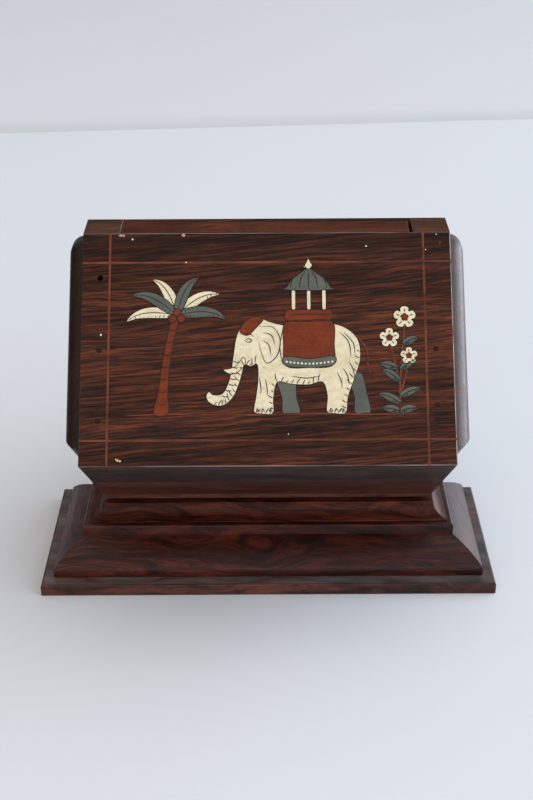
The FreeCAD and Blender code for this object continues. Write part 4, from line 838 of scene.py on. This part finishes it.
def engrave(name, paths, finish, width, taper, lift=0.0, closed=False):
    mesh = baked(name, path_mesh(name, paths, lift, closed), line_tree(finish),
                 {"Width": width, "Height": LINE_HEIGHT, "Taper": taper})
    mesh.transform(on_panel)
    place_piece(name, mesh, None, "case", INLAY_SLOT)
    print(name, "faces:", len(mesh.polygons))


engrave("engraved_outlines", engraved["outline"], black_filler, width=0.24, taper=0.0, closed=True)
engrave("engraved_strokes", engraved["hatch"], black_filler, width=0.26, taper=0.5, lift=STROKE)
engrave("inlaid_threads", engraved["thread"], stringing_wood, width=0.6, taper=0.2, lift=FAR)

# %% [markdown]
# ## Beads and specks with Geometry Nodes
# Beads hang along the edge of the saddle cloth, small pale specks of old filler and dust lie on the
# varnish, and the top edge has nicks. All are one small shape at many points, so a tree places a
# flattened ball on each point of a mesh, with a size that varies by a fixed seed.

# %% Dots tree
DOT_SEED = 7


def dot_tree(finish):
    tree, entry, add = new_tree(f"dots_{finish.name}", ["Radius", "Flatness", "Variation", "Seed"])
    ball = add("GeometryNodeMeshIcoSphere", {"Radius": entry["Radius"], "Subdivisions": 2})
    flat = add("ShaderNodeCombineXYZ", {"X": 1.0, "Y": 1.0, "Z": entry["Flatness"]})
    ball = add("GeometryNodeTransform", {"Geometry": ball, "Scale": flat})
    least = add("ShaderNodeMath", {0: 1.0, 1: entry["Variation"]}, operation="SUBTRACT")
    size = add("FunctionNodeRandomValue", {2: least, 3: 1.0, 8: entry["Seed"]}, output=1)
    placed = {"Points": entry["Geometry"], "Instance": ball, "Scale": size}
    return finish_tree(tree, add, add("GeometryNodeInstanceOnPoints", placed), finish)


def dots(name, points, finish, radius, flatness, variation, lift=0.0):
    mesh = bpy.data.meshes.new(name)
    mesh.from_pydata([(x, y, lift) for x, y in points], [], [])
    mesh = baked(name, mesh, dot_tree(finish), {"Radius": radius, "Flatness": flatness,
                                                "Variation": variation, "Seed": DOT_SEED})
    mesh.transform(on_panel)
    mesh.polygons.foreach_set("use_smooth", [True] * len(mesh.polygons))
    place_piece(name, mesh, None, "case", INLAY_SLOT)
    print(name, "dots:", len(points))


beads = [(-3.4 + k * 1.13, 15.6 - 0.62 * math.sin(math.pi * k / 12)) for k in range(13)]
spots = [(-2.2 + 1.9 * k + 0.95 * (row % 2), 19.0 + 1.7 * row)
         for row in range(5) for k in range(7 - row % 2)]
dots("saddle_beads", on_elephant(beads), bone, radius=0.36, flatness=0.3, variation=0.1, lift=TRIM)
dots("saddle_spots", on_elephant(spots), stringing_wood,
     radius=0.27, flatness=0.3, variation=0.2, lift=CLOTH)
dust = plain_wood("pale_dust", (196, 184, 150), (224, 214, 186), 14.0, 0.7)
specks = [(-40.0, 68.4), (11.2, 59.7), (47.3, 64.8), (40.6, 41.6), (-48.9, 39.2), (6.0, 9.4),
          (-24.0, 61.2), (29.6, 66.0)]
dots("pale_specks", specks, dust, radius=0.33, flatness=0.25, variation=0.45)
nick = plain_wood("pale_nick", (128, 110, 106), (176, 160, 156), 18.0, 0.6)
nicks = [(x, slope_length - down) for x, down in (
    (-43.4, 0.7), (-42.6, 0.8), (-43.9, 0.75), (-25.2, 0.7), (-24.8, 0.75), (50.6, 0.8))]
dots("edge_nicks", nicks, nick, radius=0.5, flatness=0.16, variation=0.5)
chip = plain_wood("yellow_chip", (150, 112, 60), (214, 186, 120), 16.0, 0.7)
chips = [(-43.4, 1.9), (-42.7, 1.7), (-43.9, 2.2)]
dots("yellow_chips", chips, chip, radius=0.42, flatness=0.2, variation=0.4)
scratches = [[(52.2, 39.4), (53.4, 40.0), (54.2, 39.8)], [(52.6, 31.0), (53.4, 31.6), (54.2, 31.4)],
             [(52.9, 29.9), (53.6, 30.2), (54.3, 30.6)], [(51.4, 66.2), (51.7, 67.0), (51.6, 67.6)]]
engrave("orange_scratches", scratches, stringing_wood, width=0.42, taper=0.6)

# %% [markdown]
# ## Screws of the movement
# Three cheese-head screws on the back hold the bedplate. Each has a domed rim and a slot. One head is
# built from rings, its slot is a gap between two halves, and a tree sets a copy at each place that the
# frame gives.

# %% Slotted screws
RIM_DEPTH, HEAD_REACH = 0.05 * MM, 6 * MM
HEAD_PARTS = 16
CROWN = ((0.25, 1.0), (0.07, 0.95), (0.0, 0.86))


def clusters(points, reach):
    """Centres of the groups of points that lie within reach of each other."""
    groups = []
    for point in points:
        for group in groups:
            if (group[0] - point).length < reach:
                group.append(point)
                break
        else:
            groups.append([point])
    return [sum(group, Vector()) / len(group) for group in groups]


def screw_head(radius=2.6, height=1.0, slot=0.42, depth=0.75):
    """A domed head in mm, its rim on z 0: two halves over a disc, with the slot between them."""
    work = bmesh.new()
    floor = height - depth
    start = math.asin(slot / radius)
    arc = [start + (math.pi - 2 * start) * k / HEAD_PARTS for k in range(HEAD_PARTS + 1)]
    levels = [(floor, 1.0)] + [(height - drop, share) for drop, share in CROWN]
    for side in (-1, 1):
        rings = [[work.verts.new((radius * share * math.cos(a),
                                  side * max(slot, radius * share * math.sin(a)), level))
                  for a in arc] for level, share in levels]
        for low, high in zip(rings, rings[1:]):
            for k in range(HEAD_PARTS):
                work.faces.new((low[k], low[k + 1], high[k + 1], high[k]))
            work.faces.new((low[-1], low[0], high[0], high[-1]))
        work.faces.new(rings[-1])
        work.faces.new(rings[0])
    circle = [math.pi * k / HEAD_PARTS for k in range(HEAD_PARTS * 2)]
    low, high = ([work.verts.new((radius * math.cos(a), radius * math.sin(a), level)) for a in circle]
                 for level in (0.0, floor + 0.01))
    for k in range(HEAD_PARTS * 2):
        work.faces.new((low[k - 1], low[k], high[k], high[k - 1]))
    work.faces.new(high)
    work.faces.new(low)
    bmesh.ops.recalc_face_normals(work, faces=work.faces)
    return kept_mesh("screw_head", work)


def screw_tree(head, finish):
    tree, entry, add = new_tree("slotted_screws", ["Turn", "Seed"])
    shape = add("GeometryNodeObjectInfo", {"Object": head}, output="Geometry")
    spin = add("FunctionNodeRandomValue", {3: entry["Turn"], 8: entry["Seed"]}, output=1)
    turn = add("ShaderNodeCombineXYZ", {"Z": spin})
    placed = {"Points": entry["Geometry"], "Instance": shape, "Rotation": turn}
    return finish_tree(tree, add, add("GeometryNodeInstanceOnPoints", placed), finish)


back_out = Vector((0, -outward.y, outward.z))
heads = [(vertex.co.dot(back_out), vertex.co) for vertex in nodes["mounting_screws"].data.vertices]
head_top = max(height for height, point in heads)
rims = [point for height, point in heads if height > head_top - RIM_DEPTH]
screw_places = clusters(rims, HEAD_REACH)
on_back = Matrix.Rotation(math.pi, 4, "Z") @ on_panel
flat_places = [on_back.inverted() @ point for point in screw_places]
head = new_object("screw_head", screw_head())
seats = bpy.data.meshes.new("screw_seats")
seats.from_pydata([(point.x, point.y, 0.0) for point in flat_places], [], [])
screws = baked("slotted_screws", seats, screw_tree(head, steel), {"Turn": math.pi, "Seed": 3})
bpy.data.objects.remove(head)
screws.transform(on_back)
place_piece("slotted_screws", screws, None, "case", "steel", "mounting_screws")
print("screws at mm:", [[round(v, 1) for v in point] for point in flat_places])

# %% [markdown]
# ## Floor
# The box stands on a pale sheet that meets a second one a forearm's length behind it, at a slight slant.
# So that nothing hides the box from behind, the floor is one plane, and its paint changes along the line
# where the sheets meet, with a painted shade just beyond it. A dark card beside the box, seen only in
# reflections, keeps the left end deep.

# %% Floor and card
FLOOR_HALF = 4.0
SEAM, SLANT, SHADE, DUSK = 0.472, 0.07, 0.03, 0.86
FLOOR_CLOUD = even(4)
CARD_X, CARD_FRONT, CARD_BACK, CARD_TOP = -0.4, -0.15, 0.43, 0.3


def floor_finish(near, far):
    """Pale paint, near up to the seam and far beyond it, with a painted shade where the far one starts."""
    finish = Finish("pale_floor")
    aslant = finish.maths("MULTIPLY", finish.axis("X"), SLANT)
    beyond = finish.maths("SUBTRACT", finish.axis("Y"), aslant)
    beyond = finish.maths("DIVIDE", finish.maths("SUBTRACT", beyond, SEAM), SHADE)
    dusk = (*(DUSK * value for value in far[:3]), 1.0)
    paint = finish.ramp(beyond, [(0.0, near), (0.06, dusk), (1.0, far)])
    cloud = finish.ramp(finish.noise(FLOOR_CLOUD, detail=2.0), [(0.3, 0.985), (0.7, 1.0)])
    finish.surface(finish.mix(1.0, paint, cloud, "MULTIPLY"), 0.9, gloss=0.15)
    return finish.material


def sheet(name, points, finish):
    mesh = bpy.data.meshes.new(name)
    mesh.from_pydata(points, [], [tuple(range(len(points)))])
    mesh.materials.append(finish)
    made = new_object(name, mesh)
    return made


square = ((-1, -1), (1, -1), (1, 1), (-1, 1))
paint = floor_finish(colour(223, 225, 230), colour(221, 222, 225))
sheet("floor", [(x * FLOOR_HALF, y * FLOOR_HALF, 0) for x, y in square], paint)
card_paint = plain_wood("card_paint", (54, 40, 34), (58, 44, 38), 20.0, 0.9, gloss=0.15)
card_corners = ((CARD_FRONT, 0), (CARD_BACK, 0), (CARD_BACK, CARD_TOP), (CARD_FRONT, CARD_TOP))
card = sheet("dark_card", [(CARD_X, y, z) for y, z in card_corners], card_paint)
card.visible_camera = card.visible_shadow = card.visible_diffuse = False
print("floor sheets meet", SEAM, "m behind the middle of the box")

# %% [markdown]
# ## Light
# A broad soft light hangs above, two low ones stand in front, and a large cool window is to the right;
# the left of the room is dimmer and warmer. A narrow lamp that only shows in reflections draws a bluish
# line along the rounded right-hand end.

# %% Lights and world
LAMPS = {  # place, target, size in metres, watts, tint
    "overhead": ((0.1, -0.25, 1.5), (0, 0.05, 0.05), (1.6, 1.2), 5.1, (1.0, 0.90, 0.78)),
    "front_right": ((1.25, -2.15, 0.97), (0, 0, 0.05), (2.3, 1.5), 12.1, (0.97, 0.96, 0.97)),
    "front_left": ((-1.25, -2.15, 0.97), (0, 0, 0.05), (2.3, 1.5), 12.1, (1.0, 0.84, 0.64)),
    "window": ((2.1, -0.1, 0.9), (0, 0, 0.08), (3.6, 1.8), 52.0, (0.72, 0.86, 1.0)),
    "edge_light": ((0.8, 0.35, 0.2), (0.06, 0, 0.06), (0.8, 0.6), 3.5, (0.86, 0.92, 1.0)),
}
ROOM_TINTS = ((0.33, 0.28, 0.22, 1.0), (0.78, 0.85, 0.95, 1.0))


def lamp(name, place, target, size, watts, tint):
    light = bpy.data.lights.new(name, "AREA")
    light.shape = "RECTANGLE"
    light.size, light.size_y = size
    light.energy = watts
    light.color = tint
    made = new_object(name, light)
    made.location = place
    made.rotation_euler = (Vector(target) - Vector(place)).to_track_quat("-Z", "Y").to_euler()
    return made


lamps = {name: lamp(name, *facts) for name, facts in LAMPS.items()}
lamps["edge_light"].visible_diffuse = False
world = bpy.data.worlds.new("room")
world.use_nodes = True
room = world.node_tree
way = add_node(room, "ShaderNodeTexCoord").outputs["Generated"]
across = add_node(room, "ShaderNodeSeparateXYZ", {"Vector": way}).outputs["X"]
level = add_node(room, "ShaderNodeMapRange", {"Value": across, "From Min": -1.0}).outputs["Result"]
room_ramp = add_node(room, "ShaderNodeValToRGB", {"Fac": level})
for element, tint in zip(room_ramp.color_ramp.elements, ROOM_TINTS):
    element.color = tint
feed(room, room.nodes["Background"], {"Color": room_ramp.outputs["Color"]})
bpy.context.scene.world = world
bpy.context.scene.view_settings.view_transform = "Standard"
print("lamps in watts:", {name: made.data.energy for name, made in lamps.items()})
